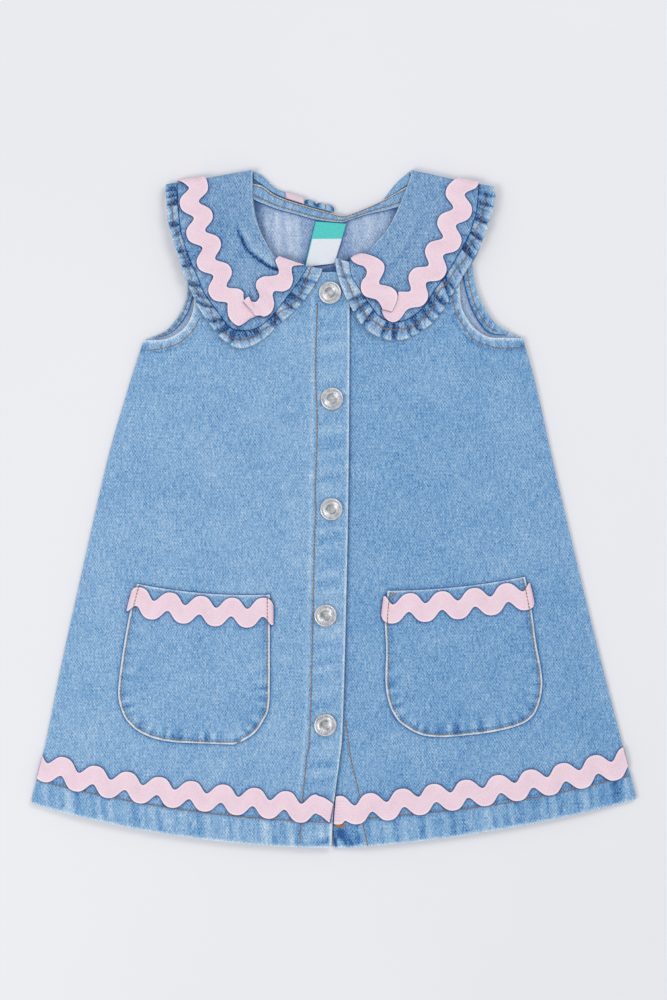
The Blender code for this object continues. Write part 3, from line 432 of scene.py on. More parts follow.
STITCH_ARMHOLE = {
    "left": (
        (-86.8, 125.0), (-90.0, 118.1), (-94.1, 113.3), (-99.1, 109.0), (-105.3, 106.1), (-112.4, 104.4),
        (-119.9, 103.5), (-124.0, 103.5),
    ),
    "right": (
        (77.0, 140.6), (78.8, 130.2), (80.0, 126.3), (89.1, 112.6), (93.9, 108.7), (100.8, 106.3),
        (108.6, 104.8), (123.0, 105.1),
    ),
}
STITCH_FACING = {
    "left": (
        (-93.0, 150.0), (-93.6, 140.9), (-95.2, 134.4), (-97.6, 128.0), (-101.2, 121.8), (-106.0, 116.4),
        (-111.6, 113.3), (-116.2, 111.9),
    ),
    "right": (
        (86.8, 160.0), (87.6, 150.0), (89.6, 141.0), (92.6, 131.9), (96.6, 124.2), (101.4, 118.3),
        (107.0, 115.4),
    ),
}


def smooth(share):
    """0 below 0, 1 above 1, and a soft step between them."""
    share = np.clip(share, 0.0, 1.0)
    return share * share * (3 - 2 * share)


def mix(first, second, share):
    return first + (second - first) * share


def hump(value, middle, width):
    """1 at the middle, falling to 0 about two widths away."""
    return np.exp(-(((value - middle) / width) ** 2))


def lines(distance, table):
    """What lines along an edge add: each is its distance in, its half breadth and its value."""
    return sum(value * hump(distance, middle, breadth) for middle, breadth, value in table)


def between_ends(share, steep):
    """1 in the middle, easing to 0 at both ends over a part of 1 / steep."""
    return smooth(steep * share) * smooth(steep * (1 - share))


def joined(*parts):
    """One array from numbers and arrays of one shape, along a new last axis."""
    return np.stack(np.broadcast_arrays(*parts), axis=-1)


def xy(points):
    return points[..., 0], points[..., 1]


class Route:
    """A smooth curve through a few points, read by the distance along it."""

    STEPS = 24
    REACH = 2.0  # a normal is taken over this length each way

    def __init__(self, points):
        knots = np.array(points, float)
        ends = np.vstack([2 * knots[0] - knots[1], knots, 2 * knots[-1] - knots[-2]])
        t = np.arange(self.STEPS)[:, None] / self.STEPS
        pieces = [
            b + ((c - a) * t + (2 * a - 5 * b + 4 * c - d) * t**2 + (3 * (b - c) + d - a) * t**3) / 2
            for a, b, c, d in zip(ends, ends[1:], ends[2:], ends[3:])
        ]
        self.points = np.vstack([*pieces, knots[-1:]])
        lengths = np.linalg.norm(np.diff(self.points, axis=0), axis=1)
        self.along = np.concatenate([[0.0], np.cumsum(lengths)])
        self.length = self.along[-1]

    def at(self, distance):
        return joined(*(np.interp(distance, self.along, column) for column in self.points.T))

    def share(self, share):
        return self.at(np.asarray(share) * self.length)

    def normal(self, distance):
        """Unit vector to the left of the way the curve runs."""
        ahead = self.at(distance + self.REACH) - self.at(distance - self.REACH)
        return joined(-ahead[..., 1], ahead[..., 0]) / np.hypot(ahead[..., 0], ahead[..., 1])[..., None]

    def x_at(self, y):
        return np.interp(y, self.points[:, 1], self.points[:, 0])

    def y_at(self, x):
        return np.interp(x, self.points[:, 0], self.points[:, 1])

    def nearest(self, x, y):
        """How far each point is from the curve, and how far along the curve that is."""
        shape = np.shape(x)
        away = (np.ravel(x)[:, None] - self.points[:, 0]) ** 2
        away += (np.ravel(y)[:, None] - self.points[:, 1]) ** 2
        index = away.argmin(axis=1)
        distance = np.sqrt(away[np.arange(len(index)), index])
        return distance.reshape(shape), self.along[index].reshape(shape)


SHADE_REACH = 4.0  # how far from its edge a piece's painted shade reaches over the cloth it lies on


def outside(outline, x, y):
    """Distance out from a closed outline, below 0 inside it, and read only close to it."""
    first = np.asarray(outline)
    second = np.roll(first, -1, axis=0)
    ahead = second - first
    square = np.maximum((ahead**2).sum(axis=1), 1e-9)
    points = np.stack([np.ravel(x), np.ravel(y)], axis=1)
    margin = 2 * SHADE_REACH
    close = (points > first.min(axis=0) - margin) & (points < first.max(axis=0) + margin)
    result = np.full(len(points), margin)
    chosen = np.flatnonzero(close.all(axis=1))
    for part in np.array_split(chosen, len(chosen) // 2000 + 1):
        away = points[part][:, None] - first
        share = np.clip((away * ahead).sum(axis=2) / square, 0, 1)
        distance = np.linalg.norm(away - share[..., None] * ahead, axis=2).min(axis=1)
        level = points[part][:, 1:]
        spans = (first[:, 1] > level) != (second[:, 1] > level)
        rise = np.where(ahead[:, 1] == 0, 1.0, ahead[:, 1])
        meets = first[:, 0] + (level - first[:, 1]) * ahead[:, 0] / rise
        crossed = (spans & (points[part][:, :1] < meets)).sum(axis=1) % 2
        result[part] = np.where(crossed == 1, -distance, distance)
    return result.reshape(np.shape(x))


def closeness(distance):
    """0 from SHADE_REACH on, SHADE_REACH at the edge and more below what lies there."""
    return np.clip(SHADE_REACH - distance, 0.0, 2 * SHADE_REACH)


def closest(outlines, x, y):
    return closeness(np.min([outside(outline, x, y) for outline in outlines], axis=0))


def outline_of(points):
    return np.concatenate([points[:, 0], points[::-1, -1]])


class Patch:
    """The cloth between two edges: straight rows across, let down in the middle by a sag."""

    def __init__(self, outer, inner, sag_start, sag_end):
        self.outer = Route(outer)
        self.inner = Route(inner)
        self.sags = (sag_start, sag_end)
        self.length = (self.outer.length + self.inner.length) / 2

    def across(self, outer, inner, share, along):
        point = mix(outer, inner, np.asarray(share)[..., None])
        drop = mix(*self.sags, along) * 4 * share * (1 - share)
        return joined(point[..., 0], point[..., 1] - drop)

    def by_share(self, share, along):
        return self.across(self.outer.share(along), self.inner.share(along), share, along)

    def by_distance(self, share, distance):
        outer, inner = self.outer.at(distance), self.inner.at(distance)
        return self.across(outer, inner, share, distance / self.length)

    def width(self, distance):
        return np.hypot(*(self.outer.at(distance) - self.inner.at(distance)).T)


SIDES = {side: Route(points) for side, points in SIDE.items()}
OVERLAP = Route(EDGE["left"])
HEM_SAG = {"left": 6.8, "right": 4.9}
UNDERARM_SAG = 19.5
SKIRTS = {side: Patch(SIDE[side], EDGE[side], HEM_SAG[side], UNDERARM_SAG) for side in SIDE}
YOKES = {side: Patch(ARMHOLE_FRONT[side], NECK_FRONT[side], UNDERARM_SAG, 0.0) for side in SIDE}

# ---- Creases that the cloth keeps: start x, y, end x, y, half width, height ----
FRONT_CREASES = (
    (25.0, 92.0, 19.5, -48.0, 5.5, 0.55), (33.5, 88.0, 27.0, -30.0, 4.0, -0.45),
    (52.0, 70.0, 40.0, -20.0, 9.0, 0.35), (96.0, 80.0, 117.0, 44.0, 5.0, 0.7),
    (84.0, 66.0, 110.0, 18.0, 8.0, 0.4), (-82.0, 98.0, -92.0, 10.0, 10.0, 0.45),
    (-104.0, 84.0, -121.0, 26.0, 7.0, 0.4), (-46.0, 70.0, -52.0, -30.0, 9.0, 0.35),
    (-30.0, -60.0, -34.0, -170.0, 8.0, 0.35), (-160.0, -70.0, -172.0, -160.0, 8.0, 0.35),
    (150.0, -70.0, 166.0, -160.0, 8.0, 0.4), (22.0, -70.0, 30.0, -170.0, 7.0, 0.35),
)
BACK_FOLDS = (  # inside the neck, as x at the top, lean, half width and height
    (-43.5, 2.0, 1.9, 0.45), (-37.0, 1.5, 2.3, 0.6), (-30.0, 2.5, 2.0, 0.55), (-24.5, 2.0, 1.8, 0.45),
    (13.0, 3.0, 2.6, 0.3), (22.0, 3.5, 3.6, 0.45), (32.0, 4.0, 3.2, 0.35),
)
BACK_FOLD_TOP = 199.0
BACK_FOLD_LOW = 150.0


def ridge(x, y, start_x, start_y, end_x, end_y, width, height):
    """A soft ridge or, with a height below 0, a trough, dying away at both ends."""
    ahead = np.array([end_x - start_x, end_y - start_y])
    length = np.hypot(*ahead)
    along = ((x - start_x) * ahead[0] + (y - start_y) * ahead[1]) / length**2
    aside = ((y - start_y) * ahead[0] - (x - start_x) * ahead[1]) / length
    return height * between_ends(along, 4) * hump(aside, 0.0, width * (1 + 0.3 * np.sin(5 * along)))


def front_swell(x, y):
    """What the fronts' soft creases add to their height, and to all that lies on them."""
    total = sum(ridge(x, y, *crease) for crease in FRONT_CREASES)
    return np.maximum(total, -0.5)


def back_swell(x, y):
    """The soft folds that hang from the neck band inside the back."""
    span = smooth((BACK_FOLD_TOP - y) / 12) * smooth((y - BACK_FOLD_LOW) / 20)
    drop = (BACK_FOLD_TOP - y) / (BACK_FOLD_TOP - BACK_FOLD_LOW)
    return span * sum(
        height * hump(x, top_x + lean * drop, width * (1 + 0.7 * np.clip(drop, 0, 1)))
        for top_x, lean, width, height in BACK_FOLDS
    )


def lift(y):
    return LIFT * smooth((y - LIFT_START_Y) / (LIFT_END_Y - LIFT_START_Y))


def back_low(x, y):
    return lift(y) + back_swell(x, y)


def back_top(x, y):
    return back_low(x, y) + WALL


def hem_y(x):
    """The hem's edge, from the two fronts' first rows."""
    edges = []
    for side in ("left", "right"):
        skirt = SKIRTS[side]
        outer, inner = skirt.outer.at(0.0), skirt.inner.at(0.0)
        share = np.clip((x - outer[0]) / (inner[0] - outer[0]), 0.0, 1.0)
        edges.append(skirt.across(outer, inner, share, 0.0)[..., 1])
    return np.where(x < EDGE["left"][0][0], *edges)


def front_low(x, y, side):
    """The underside of a front, over the back panel and, for the left, the right front."""
    seam_x = SIDES[side].x_at(np.minimum(y, UNDERARM_Y))
    inward = np.where(x * seam_x > 0, np.maximum(abs(seam_x) - abs(x), 0.0), abs(seam_x))
    away = np.hypot(inward, np.maximum(y - UNDERARM_Y, 0.0))
    belly = BELLY * smooth(away / (2 * SEAM_REACH)) * smooth((BELLY_END_Y - y) / BELLY_FADE)
    rise = LAYER * smooth(away / SEAM_REACH) + belly
    if side == "right":
        rise = rise * smooth((x - OVERLAP.x_at(y) - OVERLAP_START) / OVERLAP_FALL)
    return back_top(x, y) + GAP + rise + front_swell(x, y) * smooth(away / 12)


# ---- Ripples of the stitched edges: relief and wear share one wave ----
def uneven_wave(distance, pitch, seed):
    """A wave from -1 to 1 whose pitch and height wander."""
    phase = TURN * distance / pitch + seed
    phase = phase + 1.1 * np.sin(0.31 * phase + seed) + 0.6 * np.sin(0.83 * phase + 2 * seed)
    return np.sin(phase) * (0.72 + 0.28 * np.sin(0.43 * phase + 3 * seed))


HEM_ROPE_PITCH = 9.0
HEM_ROPE_LEAN = 0.12  # how far a ripple leans over the hem's height
HEM_ROPE_HEIGHT = 0.3
HEM_SLOW_PITCH = 24.0


def in_hem(over, start):
    """1 between the hem's edge and its stitching, easing to 0 at both."""
    return smooth(over / start) * smooth((HEM_DEPTH + 0.8 - over) / 4.0)


def hem_rope(x, y):
    """The slanting ripples between the hem's edge and its stitching."""
    over = y - hem_y(x)
    return in_hem(over, 3.0) * uneven_wave(x + HEM_ROPE_LEAN * over, HEM_ROPE_PITCH, 0.7)


def front_top(x, y, side):
    height = front_low(x, y, side) + WALL
    over = y - hem_y(x)
    height = height + HEM_STEP * smooth((HEM_DEPTH + HEM_RAMP - over) / HEM_RAMP)
    if side == "left":
        inside = PLACKET_WIDTH + PLACKET_RAMP - (OVERLAP.x_at(y) - x)
        height = height + PLACKET_STEP * smooth(inside / PLACKET_RAMP)
    return height


# ---- Materials ----
def linear(colour):
    """A colour as seen, with red, green and blue from 0 to 255, as the shader takes it."""
    return (*(((c / 255 + 0.055) / 1.055) ** 2.4 for c in colour), 1.0)


class Shader:
    """A material's nodes, made by short calls that each return an output socket."""

    def __init__(self, name):
        self.material = bpy.data.materials.new(name)
        self.material.use_nodes = True
        self.tree = self.material.node_tree
        self.surface = self.tree.nodes["Principled BSDF"]

    def node(self, kind, **settings):
        made = self.tree.nodes.new("ShaderNode" + kind)
        for key, value in settings.items():
            setattr(made, key, value)
        return made

    def put(self, value, socket):
        if isinstance(value, bpy.types.NodeSocket):
            self.tree.links.new(value, socket)
        else:
            socket.default_value = value

    def math(self, operation, first, second=0.0, clamp=False):
        made = self.node("Math", operation=operation, use_clamp=clamp)
        self.put(first, made.inputs[0])
        self.put(second, made.inputs[1])
        return made.outputs[0]

    def total(self, *terms):
        """The sum of (socket, weight) pairs and of plain numbers."""
        result = 0.0
        for term in terms:
            value = self.math("MULTIPLY", *term) if isinstance(term, tuple) else term
            result = self.math("ADD", value, result)
        return result

    def attribute(self, name, output="Vector"):
        return self.node("Attribute", attribute_name=name).outputs[output]

    def split(self, vector):
        made = self.node("SeparateXYZ")
        self.put(vector, made.inputs[0])
        return made.outputs[:3]

    def stretched(self, vector, scale):
        made = self.node("VectorMath", operation="MULTIPLY")
        self.put(vector, made.inputs[0])
        self.put(scale, made.inputs[1])
        return made.outputs[0]

    def noise(self, vector, scale, detail=2.0):
        made = self.node("TexNoise")
        self.put(vector, made.inputs["Vector"])
        self.put(scale, made.inputs["Scale"])
        self.put(detail, made.inputs["Detail"])
        return self.math("SUBTRACT", made.outputs[0], 0.5)

    def wave(self, vector, across, pitch, wander):
        """A sine from -1 to 1 along the direction across, with its phase moved by wander."""
        made = self.node("VectorMath", operation="DOT_PRODUCT")
        self.put(vector, made.inputs[0])
        length = math.hypot(*across)
        self.put([c * TURN / (pitch * length) for c in across] + [0.0], made.inputs[1])
        return self.math("SINE", self.math("ADD", made.outputs["Value"], wander))

    def ramp(self, factor, *stops):
        """stops are (position, red, green, blue)"""
        made = self.node("ValToRGB")
        ramp = made.color_ramp
        while len(ramp.elements) < len(stops):
            ramp.elements.new(0.5)
        for element, (position, *colour) in zip(ramp.elements, stops):
            element.position = position
            element.color = linear(colour)
        self.put(factor, made.inputs[0])
        return made.outputs[0]

    def blend(self, factor, first, second):
        made = self.node("Mix", data_type="RGBA")
        for value, index in ((factor, 0), (first, 6), (second, 7)):
            self.put(linear(value) if isinstance(value, tuple) else value, made.inputs[index])
        return made.outputs[2]

    def bump(self, height, distance):
        """distance, in mm, is how far the surface moves for a height of 1"""
        made = self.node("Bump")
        self.put(height, made.inputs["Height"])
        self.put(distance * MM, made.inputs["Distance"])
        self.put(1.0, made.inputs["Strength"])
        self.put(made.outputs[0], self.surface.inputs["Normal"])

    def finish(self, colour, **sockets):
        self.put(colour, self.surface.inputs["Base Color"])
        for key, value in sockets.items():
            self.put(value, self.surface.inputs[key.replace("_", " ")])
        return self.material


TWILL_ACROSS = (0.82, 0.57)
TWILL_CROSSING = (0.85, -0.53)
TWILL_PITCH = 1.45
BACK_BRAID = {"hem": 26.5, "collar": 14.0}  # how far in from the edge its middle is
BACK_BRAID_PITCH = 20.9


def cloth_threads(shader, cloth):
    """Twill that shows in patches, slubby warp, weft and specks as one value round 0."""
    wander = shader.math("MULTIPLY", shader.noise(cloth, 0.3, 1.0), 7.0)
    twill = shader.wave(cloth, TWILL_ACROSS, TWILL_PITCH, wander)
    cross = shader.wave(cloth, TWILL_CROSSING, TWILL_PITCH, wander)
    weave = shader.total((twill, 0.105), (cross, 0.07))
    patch = shader.total(0.8, (shader.noise(cloth, 0.22, 2.0), 3.5))
    warp = shader.noise(shader.stretched(cloth, (1.0, 0.2, 1.0)), 0.8, 2.0)
    weft = shader.noise(shader.stretched(cloth, (0.25, 1.0, 1.0)), 0.7, 2.0)
    speck = shader.noise(cloth, 0.75, 2.0)
    return shader.total((weave, patch), (warp, 0.55), (weft, 0.32), (speck, 0.78))


def denim(name, stops, fade=0.25, painted=False):
    shader = Shader(name)
    cloth = shader.attribute("cloth")
    wear = shader.attribute("wear", "Fac")
    threads = cloth_threads(shader, cloth)
    blotch = shader.noise(cloth, 0.03, 2.0)
    cloud = shader.noise(shader.stretched(cloth, (1.0, 0.45, 1.0)), 0.14, 2.0)
    # Painted shade beside the edges of what lies on the piece: a soft darkening, and a navy line against
    # the edge.
    close = shader.attribute("close", "Fac")
    close = shader.math("MULTIPLY", close, 1 / SHADE_REACH, clamp=True)
    soft = shader.math("POWER", close, 2.0)
    line = shader.math("MULTIPLY", shader.math("POWER", close, 5.0), EDGE_SHADE)
    value = shader.total(0.5, threads, (blotch, fade), (cloud, 0.13), (wear, 0.36), (soft, -0.15))
    colour = shader.blend(line, shader.ramp(value, *stops), EDGE_SHADE_COLOUR)
    if painted:
        colour = painted_trim(shader, colour)
    lump = shader.noise(cloth, 0.5, 2.0)
    shader.bump(shader.total((threads, 0.3), (lump, 0.7)), 0.4)
    return shader.finish(colour, Roughness=0.88, Specular_IOR_Level=0.25)


def painted_trim(shader, colour):
    """The braid on the undersides that lie flat, as colour. The trim attribute holds the
    distance along, the distance from the braid's middle, and 1 where it is."""
    along, offset, on = shader.split(shader.attribute("trim"))
    phase = shader.math("MULTIPLY", along, TURN / BACK_BRAID_PITCH)

    def edge(phase):
        bent = shader.total(phase, (shader.math("SINE", phase), -CREST_BREADTH))
        return shader.total((shader.math("COSINE", bent), BRAID_DEPTH / 2), BRAID_INNER + BRAID_DEPTH / 2)

    high = edge(phase)
    low = edge(shader.math("ADD", phase, math.pi))
    under = shader.math("LESS_THAN", offset, high)
    over = shader.math("GREATER_THAN", shader.math("ADD", offset, low), 0.0)
    braid = shader.math("MULTIPLY", shader.math("MULTIPLY", under, over), on)
    return shader.blend(braid, colour, BRAID_COLOUR)


DENIM_STOPS = (
    (0.0, 44, 87, 145), (0.28, 93, 143, 190), (0.5, 130, 170, 207), (0.72, 165, 194, 220),
    (1.0, 214, 226, 236),
)
# The deepest stops give the navy of the ruffle's painted shade in its pinches.
COLLAR_STOPS = (
    (0.0, 32, 56, 104), (0.13, 60, 101, 153), (0.28, 93, 138, 182), (0.5, 131, 165, 201),
    (0.72, 165, 191, 215), (1.0, 213, 223, 233),
)
INSIDE_STOPS = (
    (0.0, 88, 116, 160), (0.3, 130, 156, 192), (0.5, 156, 178, 208), (0.75, 184, 200, 222),
    (1.0, 216, 225, 236),
)
EDGE_SHADE = 0.68  # how much of the painted shade's own colour there is against a piece's edge
# the navy of the painted shade against an edge
EDGE_SHADE_COLOUR = (50, 74, 134)
BRAID_COLOUR = (237, 208, 220)
# The lowest stop is the navy of the painted shade at the braid's foot.
BRAID_STOPS = (
    (0.0, 60, 62, 122), (0.3, 212, 169, 192), (0.58, *BRAID_COLOUR), (1.0, 251, 236, 242)
)


def braid_material():
    shader = Shader("braid")
    cloth = shader.attribute("cloth")
    # paler towards the edges, with painted shade at the rim's foot
    rim = shader.attribute("wear", "Fac")
    _, across, _ = shader.split(cloth)
    lines = shader.math("SINE", shader.math("MULTIPLY", across, TURN / 1.45))
    ribs = shader.wave(cloth, (1.0, 0.35), 1.1, shader.math("MULTIPLY", shader.noise(cloth, 0.5), 5.0))
    speck = shader.noise(cloth, 1.2, 3.0)
    soft = shader.noise(cloth, 0.10, 2.0)
    value = shader.total(0.64, (lines, 0.075), (ribs, 0.04), (speck, 0.35), (soft, 0.3), (rim, 0.3))
    colour = shader.ramp(value, *BRAID_STOPS)
    shader.bump(shader.total((lines, 0.35), (ribs, 0.25), (speck, 0.4)), 0.16)
    return shader.finish(colour, Roughness=0.78, Specular_IOR_Level=0.3)


def thread_material(name, dark, light):
    shader = Shader(name)
    cloth = shader.attribute("cloth")
    twist = shader.wave(cloth, (1.0, 0.8), 0.55, 0.0)
    tone = shader.noise(cloth, 0.35, 2.0)
    value = shader.total(0.5, (twist, 0.22), (tone, 0.9))
    colour = shader.ramp(value, (0.1, *dark), (0.9, *light))
    shader.bump(twist, 0.05)
    return shader.finish(colour, Roughness=0.7, Specular_IOR_Level=0.3)


LABEL_BAND = 11.0  # how far down the coloured band reaches
LABEL_LENGTH = 28.7  # how long the label shows below the band that it is sewn under
LABEL_BOUND = 0.5  # how wide the coloured binding on its one side is


def label_material():
    shader = Shader("label")
    cloth = shader.attribute("cloth")
    across, down, _ = shader.split(cloth)
    ribs = shader.wave(cloth, (0.0, 1.0), 0.5, 0.0)
    speck = shader.noise(cloth, 0.9, 2.0)
    tone = shader.total(0.5, (ribs, 0.12), (speck, 0.6))
    white = shader.ramp(tone, (0.0, 205, 212, 222), (1.0, 246, 248, 252))
    teal = shader.ramp(tone, (0.0, 40, 172, 166), (1.0, 100, 226, 222))
    edge = shader.math("ADD", down, shader.math("MULTIPLY", speck, 0.4))
    band = shader.math("LESS_THAN", edge, LABEL_BAND)
    bound = shader.math("LESS_THAN", across, LABEL_BOUND)
    colour = shader.blend(shader.math("MAXIMUM", band, bound), white, teal)
    shader.bump(tone, 0.08)
    return shader.finish(colour, Roughness=0.45, Specular_IOR_Level=0.5)


def metal_material():
    shader = Shader("button_metal")
    cloth = shader.attribute("cloth")
    # Painted shade in the grooves, and painted highlight on the crests and beads.
    relief_shading = shader.attribute("wear", "Fac")
    grain = shader.noise(cloth, 2.2, 3.0)
    patch = shader.noise(cloth, 0.4, 2.0)
    value = shader.total(0.6, (grain, 0.9), (patch, 0.7), (relief_shading, 0.4))
    colour = shader.ramp(value, (0.0, 92, 95, 99), (0.5, 181, 183, 186), (1.0, 238, 239, 241))
    rough = shader.total(0.38, (patch, 0.25), (grain, 0.15))
    shader.bump(shader.total((grain, 0.5), (patch, 0.5)), 0.16)
    return shader.finish(colour, Roughness=rough, Metallic=0.9)


def floor_material():
    shader = Shader("floor")
    place = shader.node("TexCoord").outputs["Object"]
    soft = shader.noise(place, 6.0, 3.0)
    value = shader.total(0.5, (soft, 0.5))
    colour = shader.ramp(value, (0.0, 231, 231, 234), (1.0, 239, 239, 241))
    return shader.finish(colour, Roughness=0.9, Specular_IOR_Level=0.1)


def make_materials():
    return {
        "denim": denim("denim", DENIM_STOPS),
        "denim_under": denim("denim_under", DENIM_STOPS, painted=True),
        "denim_collar": denim("denim_collar", COLLAR_STOPS, painted=True),
        "denim_inside": denim("denim_inside", INSIDE_STOPS, fade=0.4),
        "braid": braid_material(),
        "thread": thread_material("thread", (122, 86, 58), (190, 146, 100)),
        "thread_tack": thread_material("thread_tack", (178, 96, 36), (236, 158, 74)),
        "label": label_material(),
        "button_metal": metal_material(),
        "floor": floor_material(),
    }


# ---- Making meshes ----
SHOWN = "_shown"  # ends the name of each piece that stands for a solid
SEED_STEP = 60.0
UNDERSIDE_STEP = 35.0  # how far the pattern moves from a piece's upper side to its lower one


def add_to_scene(name, data):
    obj = bpy.data.objects.new(name, data)
    bpy.context.scene.collection.objects.link(obj)
    return obj


def signed_volume(points, faces):
    a, b, c, d = (points[faces[:, k]] for k in range(4))
    return np.einsum("ij,ij->", a, np.cross(b, c) + np.cross(c, d))


def add_mesh(name, points, faces, attributes, materials, indices=None):
    """faces are quads as rows of four vertex numbers, points are in mm"""
    if signed_volume(points, faces) < 0:
        faces = faces[:, ::-1]
    mesh = bpy.data.meshes.new(name)
    mesh.from_pydata((points * MM).tolist(), [], faces.tolist())
    for key, values in attributes.items():
        kind, field = ("FLOAT_VECTOR", "vector") if values.ndim == 2 else ("FLOAT", "value")
        layer = mesh.attributes.new(key, kind, "POINT")
        layer.data.foreach_set(field, values.astype(np.float32).ravel())
    for material in materials:
        mesh.materials.append(MATERIALS[material])
    if indices is not None:
        mesh.polygons.foreach_set("material_index", indices.astype(np.int32))
    mesh.shade_smooth()
    obj = add_to_scene(name, mesh)
    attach(obj, "root")
    return obj


def tube_faces(rings, sides):
    """The quads of a tube whose points go round ring by ring."""
    first = np.arange((rings - 1) * sides)
    after = first - first % sides + (first + 1) % sides
    return np.stack([first, after, after + sides, first + sides], axis=1)


def rim_of(rows, columns):
    return np.concatenate([
        np.arange(columns),
        np.arange(1, rows) * columns + columns - 1,
        (rows - 1) * columns + np.arange(columns - 2, -1, -1),
        np.arange(rows - 2, 0, -1) * columns,
    ])


def rounded(grid, ring):
    """The grid with its border drawn in, and the border as it was."""
    rows, columns = grid.shape[:2]
    flat = grid.reshape(-1, 3).copy()
    row, column = np.divmod(ring, columns)
    inner = np.clip(row, 1, rows - 2) * columns + np.clip(column, 1, columns - 2)
    border = flat[ring].copy()
    inward = flat[inner] - border
    length = np.maximum(np.linalg.norm(inward, axis=1, keepdims=True), 1e-6)
    flat[ring] = border + inward * np.minimum(EDGE_ROUND / length, 0.45)
    return flat, border, inward / length


def shell(
    name, upper, lower, materials, cloth, wear=None, trim=None, rim=None, rim_out=0.0, close=None
):
    """A closed wall between two grids of points, with a rounded rim. materials are the
    upper side's and, where it differs, the lower side's. rim is the wear and painted shade
    round the edge, and rim_out is how far the edge stands out. close, how near each point
    is to the edge of what lies on it, sets the painted shade there."""
    rows, columns = upper.shape[:2]
    count = rows * columns
    ring = rim_of(rows, columns)
    high, high_border, inward = rounded(upper, ring)
    low, low_border, _ = rounded(lower, ring)
    points = np.vstack([high, low, (high_border + low_border) / 2 - rim_out * inward])
    first = (np.arange(rows - 1)[:, None] * columns + np.arange(columns - 1)).ravel()
    cells = np.stack([first, first + 1, first + columns + 1, first + columns], axis=1)
    here = 2 * count + np.arange(len(ring))
    after = np.roll(here, -1)
    ring_after = np.roll(ring, -1)
    faces = np.vstack([
        cells,
        count + cells[:, ::-1],
        np.stack([ring_after, ring, here, after], axis=1),
        np.stack([after, here, count + ring, count + ring_after], axis=1),
    ])
    sides = (len(cells), len(cells), 2 * len(ring))
    indices = np.repeat([0, len(materials) - 1, 0], sides)

    def spread(values):
        flat = np.broadcast_to(values, (rows, columns, *np.shape(values)[2:]))
        flat = flat.reshape(count, *flat.shape[2:])
        return np.concatenate([flat, flat, flat[ring]])

    attributes = {"cloth": spread(cloth), "wear": spread(np.zeros((1, 1)) if wear is None else wear)}
    attributes["cloth"][count : 2 * count, 2] += UNDERSIDE_STEP
    if rim is not None:
        attributes["wear"][2 * count :] = rim
    if trim is not None:
        attributes["trim"] = spread(trim)
    if close is not None:
        attributes["close"] = spread(close)
    obj = add_mesh(name + SHOWN, points, faces, attributes, materials, indices)
    obj["area"] = grid_area(upper)
    return obj


def grid_area(grid):
    along = grid[1:, :-1] - grid[:-1, :-1]
    across = grid[:-1, 1:] - grid[:-1, :-1]
    return float(np.linalg.norm(np.cross(along, across), axis=2).sum())


def declare(obj, width, length, fullness=1.0):
    """Hides the solid of the piece's own name, which the piece stands for. width and length, in mm,
    are what it was cut to, and fullness is how much more cloth was gathered into it; the
    cloth's area is worked out from them but not kept."""
    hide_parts(obj.name.removesuffix(SHOWN))
    area = obj["area"] * fullness * MM * MM
    flat = (width * MM, length * fullness * MM)
    area = min(max(area, 0.31 * flat[0] * flat[1]), flat[0] * flat[1])


def cut_from(x, y, seed):
    """Where a piece lies in the cloth's pattern, so that each seed shows another part of it."""
    return joined(x, y, SEED_STEP * seed)


def slab(name, grid, low, high, materials, seed, wear=None, trim=None, close=None):
    """A wall over a grid of (x, y) points, between two height functions."""
    x, y = xy(grid)
    return shell(
        name, joined(x, y, high(x, y)), joined(x, y, low(x, y)), materials,
        cut_from(x, y, seed), wear, trim, close=close,
    )


def ladder(first, second, rows, shares):
    """A grid of (x, y) between two routes, with the same share of each in a row."""
    first, second = Route(first), Route(second)
    along = np.linspace(0, 1, rows + 1)[:, None]
    return mix(first.share(along), second.share(along), np.asarray(shares)[None, :, None])


def bordered(count, width, near=(0.0, 0.5, 1.1, 1.9)):
    """Shares from 0 to 1 with stations close to both ends, given in mm."""
    near = np.array(near) / width
    return np.concatenate([near[:-1], np.linspace(near[-1], 1 - near[-1], count), 1 - near[-2::-1]])


# ---- Stitches ----
RING_SHARES = np.array([0.0, 0.14, 0.5, 0.86, 1.0])
RING_RADII = np.array([0.5, 0.95, 1.0, 0.95, 0.5])
RING_HEIGHTS = np.array([-0.12, 0.16, 0.24, 0.16, -0.12])
THREAD_SIDES = 6


def stitches(
    name, length, place, material="thread", pitch=STITCH_PITCH, stitch=STITCH_LENGTH,
    thickness=THREAD_RADIUS,
):
    """A row of stitches. place(distance along, offset, height) gives points in mm."""
    starts = np.arange(STITCH_START, length - stitch, pitch)
    along = starts[:, None, None] + RING_SHARES[:, None] * stitch
    angle = np.arange(THREAD_SIDES) * TURN / THREAD_SIDES
    radius = thickness * RING_RADII[:, None]
    points = place(along, radius * np.cos(angle), RING_HEIGHTS[:, None] + radius * np.sin(angle))
    rings = len(RING_SHARES)
    last = (rings - 1) * THREAD_SIDES
    ends = np.array([[3, 2, 1, 0], [5, 4, 3, 0], [0, 1, 2, 3], [0, 3, 4, 5]])
    ends[2:] += last
    one = np.vstack([tube_faces(rings, THREAD_SIDES), ends])
    faces = (np.arange(len(starts))[:, None, None] * rings * THREAD_SIDES + one).reshape(-1, 4)
    cloth = joined(along, angle * THREAD_RADIUS, 5.0)
    add_mesh(name, points.reshape(-1, 3), faces, {"cloth": cloth.reshape(-1, 3)}, [material])


def on_surface(route, top):
    """place() for a row that follows a route over a surface of height top(x, y)."""

    def place(distance, offset, height):
        point = route.at(distance) + route.normal(distance) * offset[..., None]
        x, y = xy(point)
        return joined(x, y, top(x, y) + height)

    return place


def stitch_route(name, points, top, **settings):
    route = Route(points)
    stitches(name, route.length, on_surface(route, top), **settings)


